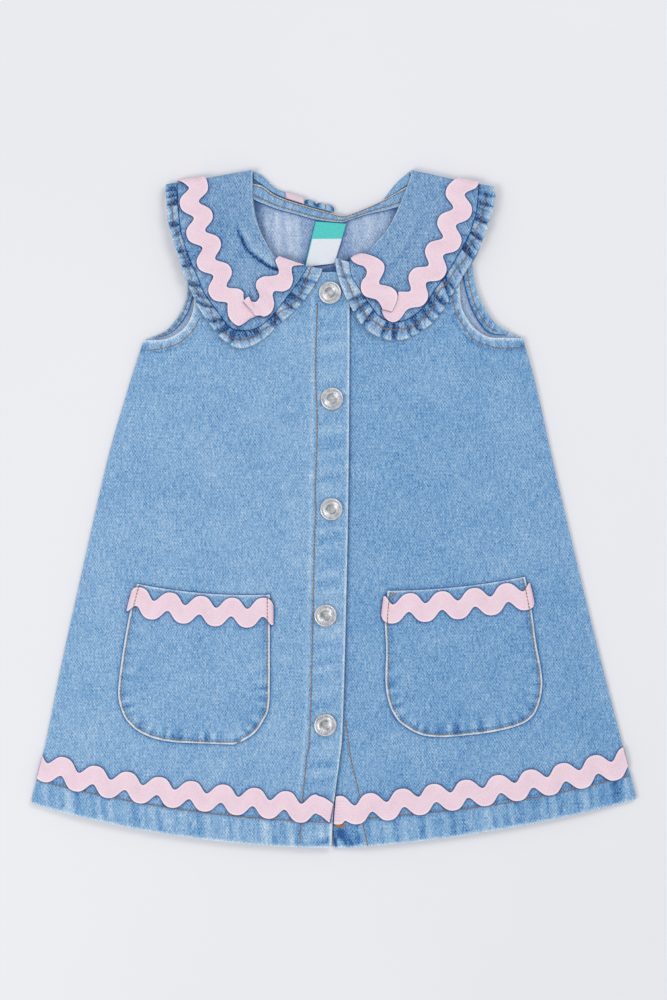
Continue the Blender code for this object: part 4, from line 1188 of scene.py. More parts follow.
# ---- Fronts ----
SEAM_STATIONS = np.array([0.0, 0.6, 1.4, 2.6, 4.2, 6.2, 8.6, 11.0])
PLACKET_STATIONS = np.array([
    26.5, 25.4, 24.4, 23.4, 22.5, 21.4, 20.2, 18.4, 16.0, 13.5, 11.0, 8.6, 6.4, 4.6, 3.2, 2.1,
    1.2, 0.5, 0.0,
])
FRONT_MIDDLE_COLUMNS = 66
FRONT_SKIRT_ROWS = 150
FRONT_YOKE_ROWS = 64
HEM_STATIONS = np.concatenate([[0.0, 0.2, 0.6, 1.2], np.arange(2.0, HEM_DEPTH + 3.0, 1.0)])
HEM_CORNER = {"left": 3.0, "right": 1.8}
CORNER_EASE = 12.0
HEM_SPREAD = 100.0  # over this length the rows turn from the hem's lie to the seam's


def front_columns(width):
    """Shares across from the side seam to the centre-front edge, one row for each width."""
    seam = SEAM_STATIONS * np.minimum(1.0, 0.25 * width / SEAM_STATIONS[-1])
    placket = PLACKET_STATIONS * np.minimum(1.0, 0.6 * width / PLACKET_STATIONS[0])
    middle = np.linspace(0, 1, FRONT_MIDDLE_COLUMNS + 2)[1:-1]
    middle = mix(seam[:, -1:], width - placket[:, :1], middle)
    return np.concatenate([seam, middle, width - placket], axis=1) / width


def rounding(up, side):
    """How far a hem's corner is drawn in at a height over the hem."""
    radius = HEM_CORNER[side]
    return radius * (1 - np.sqrt(1 - np.clip(1 - up / radius, 0.0, 1.0) ** 2))


def front_grid(side):
    skirt, yoke = SKIRTS[side], YOKES[side]
    length = skirt.length
    distance = np.concatenate([
        HEM_STATIONS, np.linspace(HEM_STATIONS[-1] + 1.4, length, FRONT_SKIRT_ROWS)
    ])[:, None]
    spread = smooth(distance / HEM_SPREAD)
    outer = skirt.outer.at(distance * mix(1.0, skirt.outer.length / length, spread))
    inner = skirt.inner.at(distance * mix(1.0, skirt.inner.length / length, spread))
    width = np.hypot(*(outer - inner)[:, 0].T)[:, None]
    columns = front_columns(width)
    drawn = rounding(distance, side) * (1 - smooth(columns * width / CORNER_EASE))
    rows = [skirt.across(outer, inner, columns + drawn / width, distance / length)]
    along = np.linspace(0, 1, FRONT_YOKE_ROWS + 1)[1:, None]
    outer, inner = yoke.outer.share(along), yoke.inner.share(along)
    width = np.hypot(*(outer - inner)[:, 0].T)[:, None]
    rows.append(yoke.across(outer, inner, front_columns(width), along))
    return np.concatenate(rows)


OVERLAP_EASE = 0.3  # the painted shade beside the placket's edge is a little weaker than others
ARMHOLES = {side: Route(points) for side, points in ARMHOLE_FRONT.items()}
ARMHOLE_BAND = 6.8
ARMHOLE_PUCKER = 5.2  # pitch of the puckers that its stitching draws in
PLACKET_TOP_Y = 156.0
PLACKET_PUCKER = 13.0
PUCKER_HEIGHT = 0.22


def armhole_pucker(x, y, side):
    away, along = ARMHOLES[side].nearest(x, y)
    held = smooth(away / 2.0) * smooth((ARMHOLE_BAND + 1 - away) / 2.5)
    return away, held * uneven_wave(along + 0.4 * away, ARMHOLE_PUCKER, 2.1)


def placket_pucker(x, y):
    inside = OVERLAP.x_at(y) - x
    held = smooth((inside - 1.0) / 4) * smooth((PLACKET_WIDTH - inside) / 4)
    return inside, held * uneven_wave(y + 0.15 * inside, PLACKET_PUCKER, 1.3)


SIDE_TINT = {"left": 0.02, "right": -0.16}  # the right side is a little deeper in colour
# Lines of wear along an edge, as distance in, half breadth and wear: edges are worn pale, and
# the cloth beside a row of stitching stays dark.
HEM_LINES = ((0.0, 1.3, 1.2), (HEM_DEPTH + 1.0, 1.5, -0.45))
ARMHOLE_LINES = ((0.0, 1.8, 1.3), (ARMHOLE_BAND + 1.2, 1.0, -0.5))
SEAM_LINES = ((0.0, 1.0, 0.25),)
PLACKET_LINES = (
    (0.5, 0.9, 1.0), (PLACKET_WIDTH + 1.6, 1.3, 0.35), (PLACKET_WIDTH - 0.6, 0.9, -0.25),
)
HEM_MARKS = (  # where the hem's corners are worn unevenly: as a crease, with wear as height
    (0.6, -207.6, 14.2, -220.4, 3.2, -1.2), (-11.0, -218.6, -1.0, -213.2, 1.7, -0.9),
    (17.0, -211.0, 18.6, -218.0, 1.9, -0.7), (2.6, -213.4, 6.2, -221.5, 1.5, 1.0),
    (0.6, -213.2, 1.8, -220.6, 0.7, -2.6),
)


def front_details(side, x, y):
    """(relief, wear) of a front's stitched edges."""
    over = y - hem_y(x)
    rope = hem_rope(x, y)
    away, pucker = armhole_pucker(x, y, side)
    relief = HEM_ROPE_HEIGHT * rope + PUCKER_HEIGHT * pucker
    slow = in_hem(over, 2.0) * uneven_wave(x, HEM_SLOW_PITCH, 2.0)
    wear = SIDE_TINT[side] + 0.5 * rope + 0.25 * slow + lines(over, HEM_LINES)
    wear = wear + 0.7 * pucker + lines(away, ARMHOLE_LINES)
    wear = wear + sum(ridge(x, y, *mark) for mark in HEM_MARKS)
    seam = abs(SIDES[side].x_at(y)) - abs(x)
    wear = wear + lines(seam, SEAM_LINES) * smooth((UNDERARM_Y - y) / 5)
    if side == "left":
        inside, cross = placket_pucker(x, y)
        below = smooth((PLACKET_TOP_Y - y) / 3)
        relief = relief + 0.10 * cross * below
        wear = wear + below * (0.32 * cross + lines(inside, PLACKET_LINES))
    return relief, wear


def make_front(side):
    grid = front_grid(side)
    x, y = xy(grid)
    relief, wear = front_details(side, x, y)
    upper = joined(x, y, front_top(x, y, side) + relief)
    lower = joined(x, y, front_low(x, y, side))
    cloth = cut_from(x, y, 1 if side == "left" else 2)
    # Painted shade on the front beside its pocket, the braids and, on the right, the left front's edge.
    outlines = [pocket_outline(side), outline_of(hem_braid(side)[1]), outline_of(pocket_braid(side)[1])]
    close = closest(outlines, x, y)
    if side == "right":
        close = np.maximum(close, closeness(x - OVERLAP.x_at(y) + OVERLAP_EASE))
    obj = shell(f"front_{side}", upper, lower, ["denim", "denim_inside"], cloth, wear, close=close)
    declare(obj, 232.0, 420.0)


def detailed_top(side):
    """Height of a front with its relief, for what is sewn close to it."""
    return lambda x, y: front_top(x, y, side) + front_details(side, x, y)[0]


def make_hem_stitching(side):
    skirt, over, top = SKIRTS[side], Route(HEM_STITCHING[side]), detailed_top(side)
    width = float(skirt.width(HEM_DEPTH))

    def place(distance, offset, height):
        share = distance / width
        x, y = xy(skirt.by_distance(share, over.y_at(share) + offset))
        return joined(x, y, top(x, y) + height)

    stitches(f"stitch_hem_{side}", width - HEM_STITCH_SHORT[side], place)


def make_front_stitching():
    for side in ("left", "right"):
        make_hem_stitching(side)
        stitch_route(f"stitch_armhole_{side}", STITCH_ARMHOLE[side], detailed_top(side))
    stitch_route("stitch_placket", STITCH_PLACKET, detailed_top("left"))
    stitch_route("stitch_under_placket", STITCH_UNDER_PLACKET, detailed_top("right"))
    for number, (side, *ends) in enumerate(TACKS, start=1):
        stitch_route(f"tack_{number}", ends, detailed_top(side), **TACK)


# ---- Back panel ----
BACK_ROWS_SKIRT = 100
BACK_ROWS_YOKE = 44
BACK_COLUMNS = 110
BACK_WIDTH = 390.0
BACK_HEM_INSET = 0.6
BACK_HEM_ROWS = (0.0, 0.002, 0.005, 0.01)
BACK_UNDERARM_SAG = 8.0


def back_grid():
    """The skirt's rows take the hem's shape and the yoke's rows take the neck's."""
    left, right = SIDES["left"], SIDES["right"]
    arm_left, arm_right = Route(ARMHOLE_BACK["left"]), Route(ARMHOLE_BACK["right"])
    neck = Route(TOP_BACK)
    shares = bordered(BACK_COLUMNS, BACK_WIDTH)[None, :]

    def rows(start, end, drop):
        point = mix(start, end, shares[..., None])
        return joined(point[..., 0], point[..., 1] + drop)

    start, end = left.at(0.0), right.at(0.0)
    hem = mix(start, end, shares[0][:, None])
    ends = BACK_HEM_INSET * between_ends(shares, 20)
    hem_drop = hem_y(hem[:, 0]) - hem[:, 1] + ends
    underarm_drop = -BACK_UNDERARM_SAG * 4 * shares * (1 - shares)
    top = mix(arm_left.share(1.0), arm_right.share(1.0), shares[0][:, None])
    neck_drop = neck.y_at(top[:, 0]) - top[:, 1]
    along = np.concatenate([BACK_HEM_ROWS, np.linspace(0.016, 1, BACK_ROWS_SKIRT)])[:, None]
    skirt = rows(left.share(along), right.share(along), mix(hem_drop, underarm_drop, along))
    up = along * left.length
    span = BACK_WIDTH / CORNER_EASE
    skirt[..., 0] += rounding(up, "left") * (1 - smooth(shares * span))
    skirt[..., 0] -= rounding(up, "right") * (1 - smooth((1 - shares) * span))
    along = np.concatenate([np.linspace(0, 0.985, BACK_ROWS_YOKE)[1:], [0.993, 1.0]])[:, None]
    yoke = rows(arm_left.share(along), arm_right.share(along), mix(underarm_drop, neck_drop, along))
    return np.concatenate([skirt, yoke])


NECK_SHADE = 8.0  # how far in from the collar the back's inside is in its painted shade
NECK_CORNER_SHADOWS = ((-51.5, 199.6, 4.5), (43.5, 196.0, 3.5))  # painted shadow under the band's ends: x, y, reach


def neck_shading(x, y):
    """Painted light and shade: pale tops of the folds, the collar's shade beside them,
    shadow under the band's ends, and the lighter right side.
    """
    inside = smooth((y - BACK_FOLD_LOW) / 6)
    wear = 1.9 * (back_swell(x, y) - 0.2) + 0.25 * smooth((x - 5) / 20)
    for table in COLLARS.values():
        away = Route(table["neck"]).nearest(x, y)[0]
        wear = wear - 0.65 * (1 - smooth(away / NECK_SHADE))
    for corner_x, corner_y, reach in NECK_CORNER_SHADOWS:
        wear = wear - 1.6 * hump(np.hypot(x - corner_x, y - corner_y), 0.0, reach)
    return inside * wear


def make_back():
    grid = back_grid()
    x, y = xy(grid)
    over = y - hem_y(x)
    # Real wear at the hem, and painted light and shade inside the neck.
    wear = 0.5 * hem_rope(x, y) + 0.6 * hump(over, 0.0, 1.5) + neck_shading(x, y)
    trim = joined(x, over - BACK_BRAID["hem"], smooth((60.0 - over) / 5))
    # Painted shade on the inside beside the neck band and the label.
    label = (*LABEL_TOP, *LABEL_BOTTOM[::-1])
    close = closest([outline_of(ladder(BAND_UPPER, BAND_LOWER, 60, (0.0, 1.0))), label], x, y)
    materials = ["denim_inside", "denim_under"]
    obj = slab("back_panel", grid, back_low, back_top, materials, 3, wear, trim, close)
    declare(obj, 400.0, 440.0)


# ---- What lies on the back panel's inside ----
def band_low(x, y):
    return back_top(x, y) + GAP


def band_top(x, y):
    return band_low(x, y) + WALL


def on_back(name, first, second, rows, shares, seed, wear):
    return slab(name, ladder(first, second, rows, shares), band_low, band_top, ["denim"], seed, wear)


BAND_WIDTH = 10.0
BAND_LENGTH = 120.0
BAND_LINES = ((0.3, 0.8, 0.9), (BAND_WIDTH - 0.3, 0.8, 0.7))
BAND_ROWS_OF_STITCHES = (("upper", 0.14), ("lower", 0.74))  # and their shares of its width
LABEL_WIDTH = 20.0
FACING_WIDTH = 6.0
FACING_LENGTH = 70.0
# Pale along the outer edge, and painted shadow along the inner one.
FACING_LINES = ((0.0, 0.7, 0.5), (FACING_WIDTH, 0.12 * FACING_WIDTH, -1.5))


def make_neck_band():
    shares = bordered(10, BAND_WIDTH)
    along = np.linspace(0, 1, 161)[:, None]
    wave = uneven_wave(along * BAND_LENGTH, 6.0, 0.4)
    wear = lines(shares * BAND_WIDTH, BAND_LINES) + 0.3 * wave * between_ends(shares, 4)
    obj = on_back("neck_band", BAND_UPPER, BAND_LOWER, 160, shares, 4, wear)
    declare(obj, 13.0, BAND_LENGTH)
    upper, lower = Route(BAND_UPPER), Route(BAND_LOWER)
    for name, inset in BAND_ROWS_OF_STITCHES:
        line = [mix(upper.share(s), lower.share(s), inset) for s in np.linspace(0.02, 0.98, 30)]
        stitch_route(f"stitch_band_{name}", line, band_top)


def make_label():
    """It hangs from under the neck band, a little off the back."""
    shares = bordered(18, LABEL_WIDTH)
    grid = np.swapaxes(ladder(LABEL_TOP, LABEL_BOTTOM, 18, shares), 0, 1)
    x, y = xy(grid)
    down = shares[:, None] * LABEL_LENGTH
    across = np.linspace(0, LABEL_WIDTH, grid.shape[1])
    stand = 0.5 * smooth(shares[:, None]) + 0.25 * np.sin(across / LABEL_WIDTH * math.pi)
    low = back_top(x, y) + GAP + stand
    upper, lower = joined(x, y, low + LABEL_WALL * 0.5), joined(x, y, low)
    obj = shell("neck_label", upper, lower, ["label"], cut_from(across, down, 5))
    declare(obj, 21.0, 30.5)


def make_facings():
    shares = bordered(6, FACING_WIDTH, (0.0, 0.4, 0.9))
    wave = uneven_wave(np.linspace(0, FACING_LENGTH, 81)[:, None], 5.0, 1.7)
    wear = 0.5 * wave * between_ends(shares, 3) + lines(shares * FACING_WIDTH, FACING_LINES) - 0.2
    for side, (outer, inner) in FACINGS.items():
        name = f"armhole_facing_{side}"
        obj = on_back(name, outer, inner, 80, shares, 5, wear)
        declare(obj, 10.5, 72.0)
        stitch_route(f"stitch_facing_{side}", STITCH_FACING[side], band_top)


# ---- Collar ----
COLLAR_TINT = {"left": -0.2, "right": -0.14}
COLLAR_RIM = ((0.0, 0.012, 0.8),)
COLLAR_SEAM = ((1.0, 0.012, -0.5),)
COLLAR_FRONT_ROWS = 110
COLLAR_WIDTH = 45.0
COLLAR_FOLD_ROWS = 16
COLLAR_BACK_ROWS = 56
FOLD_WEAR_AND_SHADING = 9.0  # how far round the fold the front's wear and painted shade go on
FRONT_LENGTH = 220.0  # from the middle of the dress to the shoulder
RUFFLE_WIDTH = 9.0
RUFFLE_ROWS = 400
RUFFLE_COLUMNS = np.array(
    [0, 0.05, 0.12, 0.2, 0.3, 0.4, 0.48, 0.55, 0.62, 0.7, 0.79, 0.88, 0.95, 1.0]
)


class Collar:
    """One half of the collar: flat on the front, round the shoulder, flat under the back."""

    def __init__(self, side):
        self.side = side
        table = COLLARS[side]
        self.neck, self.seam, self.edge = (Route(table[k]) for k in ("neck", "seam", "edge"))
        self.fold_x, self.fold_y = np.array(table["fold"]).T
        points, self.crease_height, self.crease_reach, self.crease_shade_strength = table["crease"]
        self.crease = Route(points)
        scale = np.array((table["back_scale"], 1.0))
        self.back = [Route(scale * points) for points in (BACK_NECK, BACK_SEAM, BACK_EDGE)]

    def turn_y(self, x):
        """Where the wall starts to turn over the shoulder."""
        return np.interp(x, self.fold_x, self.fold_y) - FOLD_OUTSIDE

    def from_crease(self, x, y):
        """Distance from the crease, below 0 on its right side, its strength, and the share
        of the way along it."""
        away, along = self.crease.nearest(x, y)
        line, normal = self.crease.at(along), self.crease.normal(along)
        side = (x - line[..., 0]) * normal[..., 0] + (y - line[..., 1]) * normal[..., 1]
        share = along / self.crease.length
        strength = between_ends(share, 3.5) * mix(0.55, 1.0, share)
        return away * np.sign(side), strength, share

    def relief(self, x, y):
        """The cloth steps up on one side of the crease and eases down again."""
        aside, strength, _ = self.from_crease(x, y)
        step = smooth(aside / 2.4 + 0.4) * (1 - smooth((aside - 2) / self.crease_reach))
        total = front_swell(x, y) + back_swell(x, y) + self.crease_height * strength * step
        return np.maximum(total, 0.0) * smooth((self.turn_y(x) - y) / 14)

    def crease_shading(self, x, y):
        """Painted shade along the crease, and painted light on the raised side beside it."""
        aside, strength, share = self.from_crease(x, y)
        tone = lines(aside, ((3.2, 2.2, 0.45), (-0.3, mix(1.5, 0.75, share), -1.7)))
        return self.crease_shade_strength * strength * tone

    def lay(self, x, y, out):
        """A point of the collar before folding, put in place, out from the mid wall."""
        turn_y = self.turn_y(x)
        flat = lift(y) + COLLAR_BASE + WALL / 2 + out + self.relief(x, y)
        angle = np.maximum(y - turn_y, 0.0) / FOLD_RADIUS
        radius = FOLD_RADIUS + out
        folded = y > turn_y
        return joined(
            x,
            np.where(folded, turn_y + radius * np.sin(angle), y),
            np.where(folded, FOLD_CENTRE_Z + radius * np.cos(angle), flat),
        )

    def sheet(self, name, first, second, rows, shares, stand, wear, seed, on_it=()):
        """A closed strip from the front tip to the centre back between two of the lines.
        stand, and the wear with its painted shade, are functions of (share along, share across),
        and on_it holds the outlines of what lies on it, whose painted shade falls on the strip."""
        (front_a, back_a), (front_b, back_b) = first, second
        along = np.linspace(0, 1, rows + 1)[:-1, None]
        x, y = xy(mix(front_a(along), front_b(along), shares[:, None]))
        out = stand(along, shares)
        upper = [self.lay(x, y, WALL / 2 + out)]
        lower = [self.lay(x, y, -WALL / 2 + 0.5 * out)]
        cloth = [cut_from(x, y, seed)]
        worn_and_shaded = [wear(along, shares) + self.crease_shading(x, y)]
        turned = FOLD_RADIUS * math.pi * np.linspace(0, 1, COLLAR_FOLD_ROWS + 1)[:, None]
        end = mix(front_a(1.0), front_b(1.0), shares[:, None])[:, 0]
        x, y = end + 0 * turned, self.turn_y(end) + turned
        upper.append(self.lay(x, y, WALL / 2))
        lower.append(self.lay(x, y, -WALL / 2))
        cloth.append(cut_from(x, y, seed))
        worn_and_shaded.append(wear(np.ones_like(turned), shares) * smooth(1 - turned / FOLD_WEAR_AND_SHADING))
        along = np.linspace(0, 1, COLLAR_BACK_ROWS)[:, None]
        x, y = xy(mix(back_a(along), back_b(along), shares[:, None]))
        upper.append(joined(x, y, 0.0))
        lower.append(joined(x, y, WALL))
        cloth.append(cut_from(x, 2 * FRONT_LENGTH - y, seed))
        worn_and_shaded.append(0 * x)
        away, distance = self.back[1].nearest(x, y)
        trims = [0 * part for part in cloth[:-1]]
        trims.append(joined(distance, away - BACK_BRAID["collar"], 1.0))
        # Painted shade beside what lies on the front part; none under the back.
        close = None
        if on_it:
            close = np.concatenate([*(closest(on_it, *xy(part)) for part in cloth[:-1]), 0 * x])
        return shell(
            name, np.concatenate(upper), np.concatenate(lower), ["denim_collar", "denim"],
            np.concatenate(cloth), np.concatenate(worn_and_shaded), np.concatenate(trims), close=close,
        )


def ruffle_fade(along):
    return smooth((1 - along) / RUFFLE_FADE)


class Ruffle:
    """The gathers of one half's ruffle, by share along and across."""

    def __init__(self, side, length):
        self.length = length
        self.pinches = np.array(RUFFLE_PINCHES[side])
        self.stitching = Route(RUFFLE_STITCHING[side])

    def between(self, along, across):
        """Lengths past the last pinch and before the next, both depths, and the inner tone."""
        along, across = np.broadcast_arrays(np.asarray(along, float), across)
        at_seam, at_edge, depth, tone = self.pinches.T
        places = at_seam + (at_edge - at_seam) * across[..., None]
        last = (along[..., None] >= places).sum(axis=-1) - 1
        last = np.clip(last, 0, len(depth) - 1)
        following = np.minimum(last + 1, len(depth) - 1)
        place = np.take_along_axis(places, last[..., None], axis=-1)[..., 0]
        end = np.take_along_axis(places, following[..., None], axis=-1)[..., 0]
        past = (along - place) * self.length
        before = np.where(following > last, (end - along) * self.length, self.length)
        return past, before, depth[last], depth[following], tone[last]

    def low(self, along, across):
        """From 0 on a fold's back to its depth, at most 1, in a pinch."""
        past, before, depth, next_depth, _ = self.between(along, across)
        foot = depth * (1 - smooth(past / PINCH_SHADE))
        return np.maximum(foot, next_depth * (1 - smooth(before / PINCH_DROP)))

    def stand(self, along, across):
        """How far it stands out between the pinches, drawn down by the stitching."""
        puff = np.interp(across, RUFFLE_ACROSS, RUFFLE_PUFF)
        return RUFFLE_HEIGHT * ruffle_fade(along) * puff * (1 - 0.95 * self.low(along, across))

    def wear(self, along, across):
        """Painted shade: navy in the pinches and along the stitching, and deep blue near the
        seam; paler towards the free edge.
        """
        past, before, depth, next_depth, tone = self.between(along, across)
        pinch = 1.1 * hump(past, 0.0, PINCH_LINE) + 1.9 * (1 - smooth(past / PINCH_SHADE))
        shade = depth * pinch + next_depth * 1.2 * hump(before, 0.0, PINCH_LINE)
        inner = 1 - smooth((across - 0.35) / 0.3)
        ends = smooth(past / 2.0) * smooth(before / 2.0)
        fine = np.sin(1.9 * past + 5 * across) * np.sin(0.7 * past + 2 * depth)
        held = hump(across - self.stitching.y_at(along), 0.0, 0.1)
        worn_and_shaded = np.interp(across, RUFFLE_ACROSS, RUFFLE_PALE) + 1.1 * inner * ends * tone
        worn_and_shaded = worn_and_shaded + 0.35 * fine - shade - 0.35 * held
        return np.where(worn_and_shaded < 0, RUFFLE_DEEPEST * np.tanh(worn_and_shaded / RUFFLE_DEEPEST), worn_and_shaded)


def set_apart(seam, edge):
    """The seam's line, moved towards the edge so that the ruffle is clear of the collar."""

    def line(share):
        start, end = seam.share(share), edge.share(share)
        ahead = end - start
        length = np.hypot(ahead[..., 0], ahead[..., 1])[..., None]
        return start + ahead * SEAM_GAP / length

    return line


def make_collar(collar):
    side, number = collar.side, 0 if collar.side == "left" else 1
    back_neck, back_seam, _ = collar.back

    def flat(along, across):
        return 0 * along * across

    def wear(along, across):
        ripple = uneven_wave(along * collar.seam.length, 7.0, 2.5) * smooth((across - 0.86) / 0.1)
        rim = lines(across, COLLAR_RIM) * smooth(along * 8)
        return COLLAR_TINT[side] + 0.4 * ripple + rim + lines(across, COLLAR_SEAM)

    # The collar gets painted shade beside the braids that lie on it.
    obj = collar.sheet(
        f"collar_{side}",
        (collar.neck.share, back_neck.share), (collar.seam.share, back_seam.share),
        COLLAR_FRONT_ROWS, bordered(44, COLLAR_WIDTH), flat, wear, 6 + number,
        [outline_of(braid(side)[1]) for braid in (collar_side_braid, collar_front_braid)],
    )
    declare(obj, 80.0, 230.0)


def make_ruffle(collar):
    side, number = collar.side, 0 if collar.side == "left" else 1
    _, back_seam, back_edge = collar.back
    length = (collar.seam.length + collar.edge.length) / 2
    ruffle = Ruffle(side, length)
    inner = set_apart(collar.seam, collar.edge)

    def scalloped(share):
        """The free edge, drawn in at each pinch."""
        drawn = RUFFLE_SCALLOP * ruffle.low(share, 1.0) ** 2 * ruffle_fade(share) - 0.02
        return mix(collar.edge.share(share), collar.seam.share(share), drawn[..., None])

    obj = collar.sheet(
        f"ruffle_{side}", (inner, set_apart(back_seam, back_edge)), (scalloped, back_edge.share),
        RUFFLE_ROWS, RUFFLE_COLUMNS, ruffle.stand, ruffle.wear, 8 + number,
    )
    declare(obj, 12.0, 420.0, fullness=1.25)

    def place(distance, offset, height):
        along = distance / length
        across = ruffle.stitching.y_at(along) + offset / RUFFLE_WIDTH
        x, y = xy(mix(inner(along), scalloped(along), across[..., None]))
        return collar.lay(x, y, WALL / 2 + ruffle.stand(along, across) + height)

    stitches(f"stitch_ruffle_{side}", length - 3.0, place)


# ---- The collar's roll behind the neck ----
ROLL_HEIGHT = Route(ROLL_PROFILE)
ROLL_WIDTH = 7.0
NECK_BRAID_PATTERN = 12.0  # how much of the braid's pattern lies across the roll
ROLL_ACROSS = np.array([0, 0.08, 0.18, 0.3, 0.42, 0.55, 0.68, 0.8, 0.9, 0.96, 1.0])


def roll_piece(name, seam, edge, start, end, rows, stand, wall, materials, seed, wave=None):
    seam, edge = Route(seam), Route(edge)
    along = np.linspace(start, end, rows + 1)[:, None]
    shares = ROLL_ACROSS
    ripple, drawn = (0.0, 0.0) if wave is None else wave(along)
    point = mix(seam.share(along), edge.share(along), (shares * (1 - drawn))[..., None])
    x, y = xy(point)
    ripple = ripple * smooth(shares * 4)
    z = ROLL_HEIGHT.y_at(shares) + stand
    upper = joined(x, y, z + 0.35 * np.minimum(ripple, 0.0))
    lower = joined(x, y, np.maximum(z - wall, 0.0))
    cloth = cut_from(along * seam.length, shares * ROLL_WIDTH, seed)
    if materials == ["braid"]:
        cloth = joined(along * seam.length, (shares - 0.5) * NECK_BRAID_PATTERN, 0.0)
    # For the ruffle's end, ripple also carries the painted shade at its pinches.
    return shell(name, upper, lower, materials, cloth, ripple)


def make_rolls():
    def gathers(along):
        """The end's two puffs: how pale, with painted shade at each pinch, and how far a
        pinch draws the upper edge in.
        """
        pinch = sum(hump(along, place, 0.022) for place in ROLL_PINCHES)
        shade = sum(hump(along, place, 0.045) for place in ROLL_PINCHES)
        return 0.7 - 2.4 * shade, 0.3 * pinch

    seam, edge = ROLL_LEFT_SEAM, ROLL_LEFT_EDGE
    plain = roll_piece("collar_roll_left", seam, edge, 0.0, ROLL_END_LEFT, 50, 0.0, WALL, ["denim"], 10)
    declare(plain, 12.0, 36.0)
    start = ROLL_END_LEFT + ROLL_END_GAP
    end = roll_piece(
        "ruffle_end_left", seam, edge, start, 1.0, 40, RUFFLE_END_RISE, WALL, ["denim"], 11, gathers
    )
    declare(end, 12.0, 23.0)
    first, last = Route(seam).share(ROLL_STITCH), Route(edge).share(ROLL_STITCH)

    def roll_place(distance, offset, height):
        across = 0.1 + distance / ROLL_WIDTH
        point = mix(first, last, across[..., None])
        level = ROLL_HEIGHT.y_at(across) + RUFFLE_END_RISE + height
        return joined(point[..., 0] + offset, point[..., 1], level)

    stitches("stitch_ruffle_end", 5.6, roll_place)
    top = GAP + BRAID_WALL
    braid = roll_piece(
        "ricrac_neck_left", seam, edge, *ROLL_BRAID, 24, top, BRAID_WALL, ["braid"], 12
    )
    declare(braid, 12.0, 11.0)
    seam, edge = ROLL_RIGHT_SEAM, ROLL_RIGHT_EDGE
    right = roll_piece("collar_roll_right", seam, edge, 0.0, 1.0, 30, 0.0, WALL, ["denim"], 13)
    declare(right, 12.0, 18.0)


# ---- Braid ----
BRAID_STEP = 0.75
BRAID_ACROSS = np.array([
    -1.0, -0.93, -0.84, -0.7, -0.52, -0.34, -0.17, 0.0, 0.17, 0.34, 0.52, 0.7, 0.84, 0.93, 1.0,
])
BRAID_CROWN = 0.25
BRAID_HALF_PATTERN = 6.5
BRAID_CUT_WIDTH = 19.6
LOBE_MIDDLE = 3.2  # of a hem braid's last lobe, from its end
BRAID_SLANT = 1.5  # how far the left hem braid's lower corner stays back
BRAID_TO_EDGE = 0.6
END_EASE = 12.0
BRAID_RIM_SHADE = -2.6  # painted shade at the foot of the edge
# how far the ring with the painted shade stands out past the braid
BRAID_RIM_OUT = 0.25


def crest(phase):
    return (1 + np.cos(phase - CREST_BREADTH * np.sin(phase))) / 2


def braid_edges(distance, first_crest, pitch):
    phase = TURN * (distance - first_crest) / pitch
    return BRAID_INNER + BRAID_DEPTH * crest(phase), -BRAID_INNER - BRAID_DEPTH * crest(phase + math.pi)


def braid_shell(name, distance, points, place, length):
    """place(x, y, distance, height over the cloth) gives the braid's points"""
    x, y = xy(points)
    crown = BRAID_CROWN * (1 - BRAID_ACROSS**2)
    upper = place(x, y, distance, GAP + BRAID_WALL + crown)
    lower = place(x, y, distance, GAP)
    cloth = joined(distance, BRAID_ACROSS * BRAID_HALF_PATTERN, 0.0)
    # Paler towards both edges; the rim ring gets painted shade at the foot.
    wear = smooth((abs(BRAID_ACROSS) - 0.8) / 0.14)
    obj = shell(name, upper, lower, ["braid"], cloth, wear, rim=BRAID_RIM_SHADE, rim_out=BRAID_RIM_OUT)
    declare(obj, BRAID_CUT_WIDTH, length)


def braid_rows(low, high):
    """For each distance along, the stations from the lower edge to the higher one."""
    return mix(low, high, (BRAID_ACROSS + 1) / 2)


def braid_steps(length):
    return np.linspace(0, length, int(length / BRAID_STEP) + 2)[:, None]


def hem_braid(side):
    """(distances, points, length). Near the centre its end follows the left front's edge."""
    skirt, table = SKIRTS[side], HEM_BRAID[side]
    middle = Route(table["line"])
    width = middle.points[-1][0]
    length = width - table["hidden"]
    distance = braid_steps(length)
    high, low = braid_edges(distance, table["first_crest"], table["pitch"])
    left = length - distance
    if "lobe" in table:
        lobe_length, lobe_reach, notch, lobe_round = table["lobe"]
        lobe = notch * hump(left, 0.68 * lobe_length, 1.2) - lobe_reach
        lobe = lobe - lobe_round * (1 - np.clip(left / LOBE_MIDDLE - 1, -1, 1) ** 2)
        low = mix(low, lobe, smooth((lobe_length - left) / 2.0))
    if "cut" in table:
        high, low = (
            mix(edge, np.interp(left, *line), smooth((line[0][-1] + 0.5 - left) / 2.0))
            for edge, line in zip((high, low), table["cut"])
        )
    offset = braid_rows(low, high)
    points = skirt.by_distance(distance / width, middle.y_at(distance) + offset)
    if side == "right":
        shift = OVERLAP.x_at(points[-1, :, 1]) + BRAID_TO_EDGE - points[-1, :, 0]
    else:
        shift = -BRAID_SLANT * (1 - BRAID_ACROSS) / 2
    points[..., 0] += shift * smooth(1 - left / END_EASE)
    return distance, points, length


def make_hem_braid(side):
    distance, points, length = hem_braid(side)

    def place(x, y, distance, height):
        return joined(x, y, front_top(x, y, side) + height)

    braid_shell(f"ricrac_hem_{side}", distance, points, place, length)


def rung_points(rungs, rows):
    """Rows of points between the two edges that the rungs give."""
    edges = Route(rungs).share(np.linspace(0, 1, rows))[..., None]
    return np.swapaxes(braid_rows(edges[:, 2:], edges[:, :2]), 1, 2)


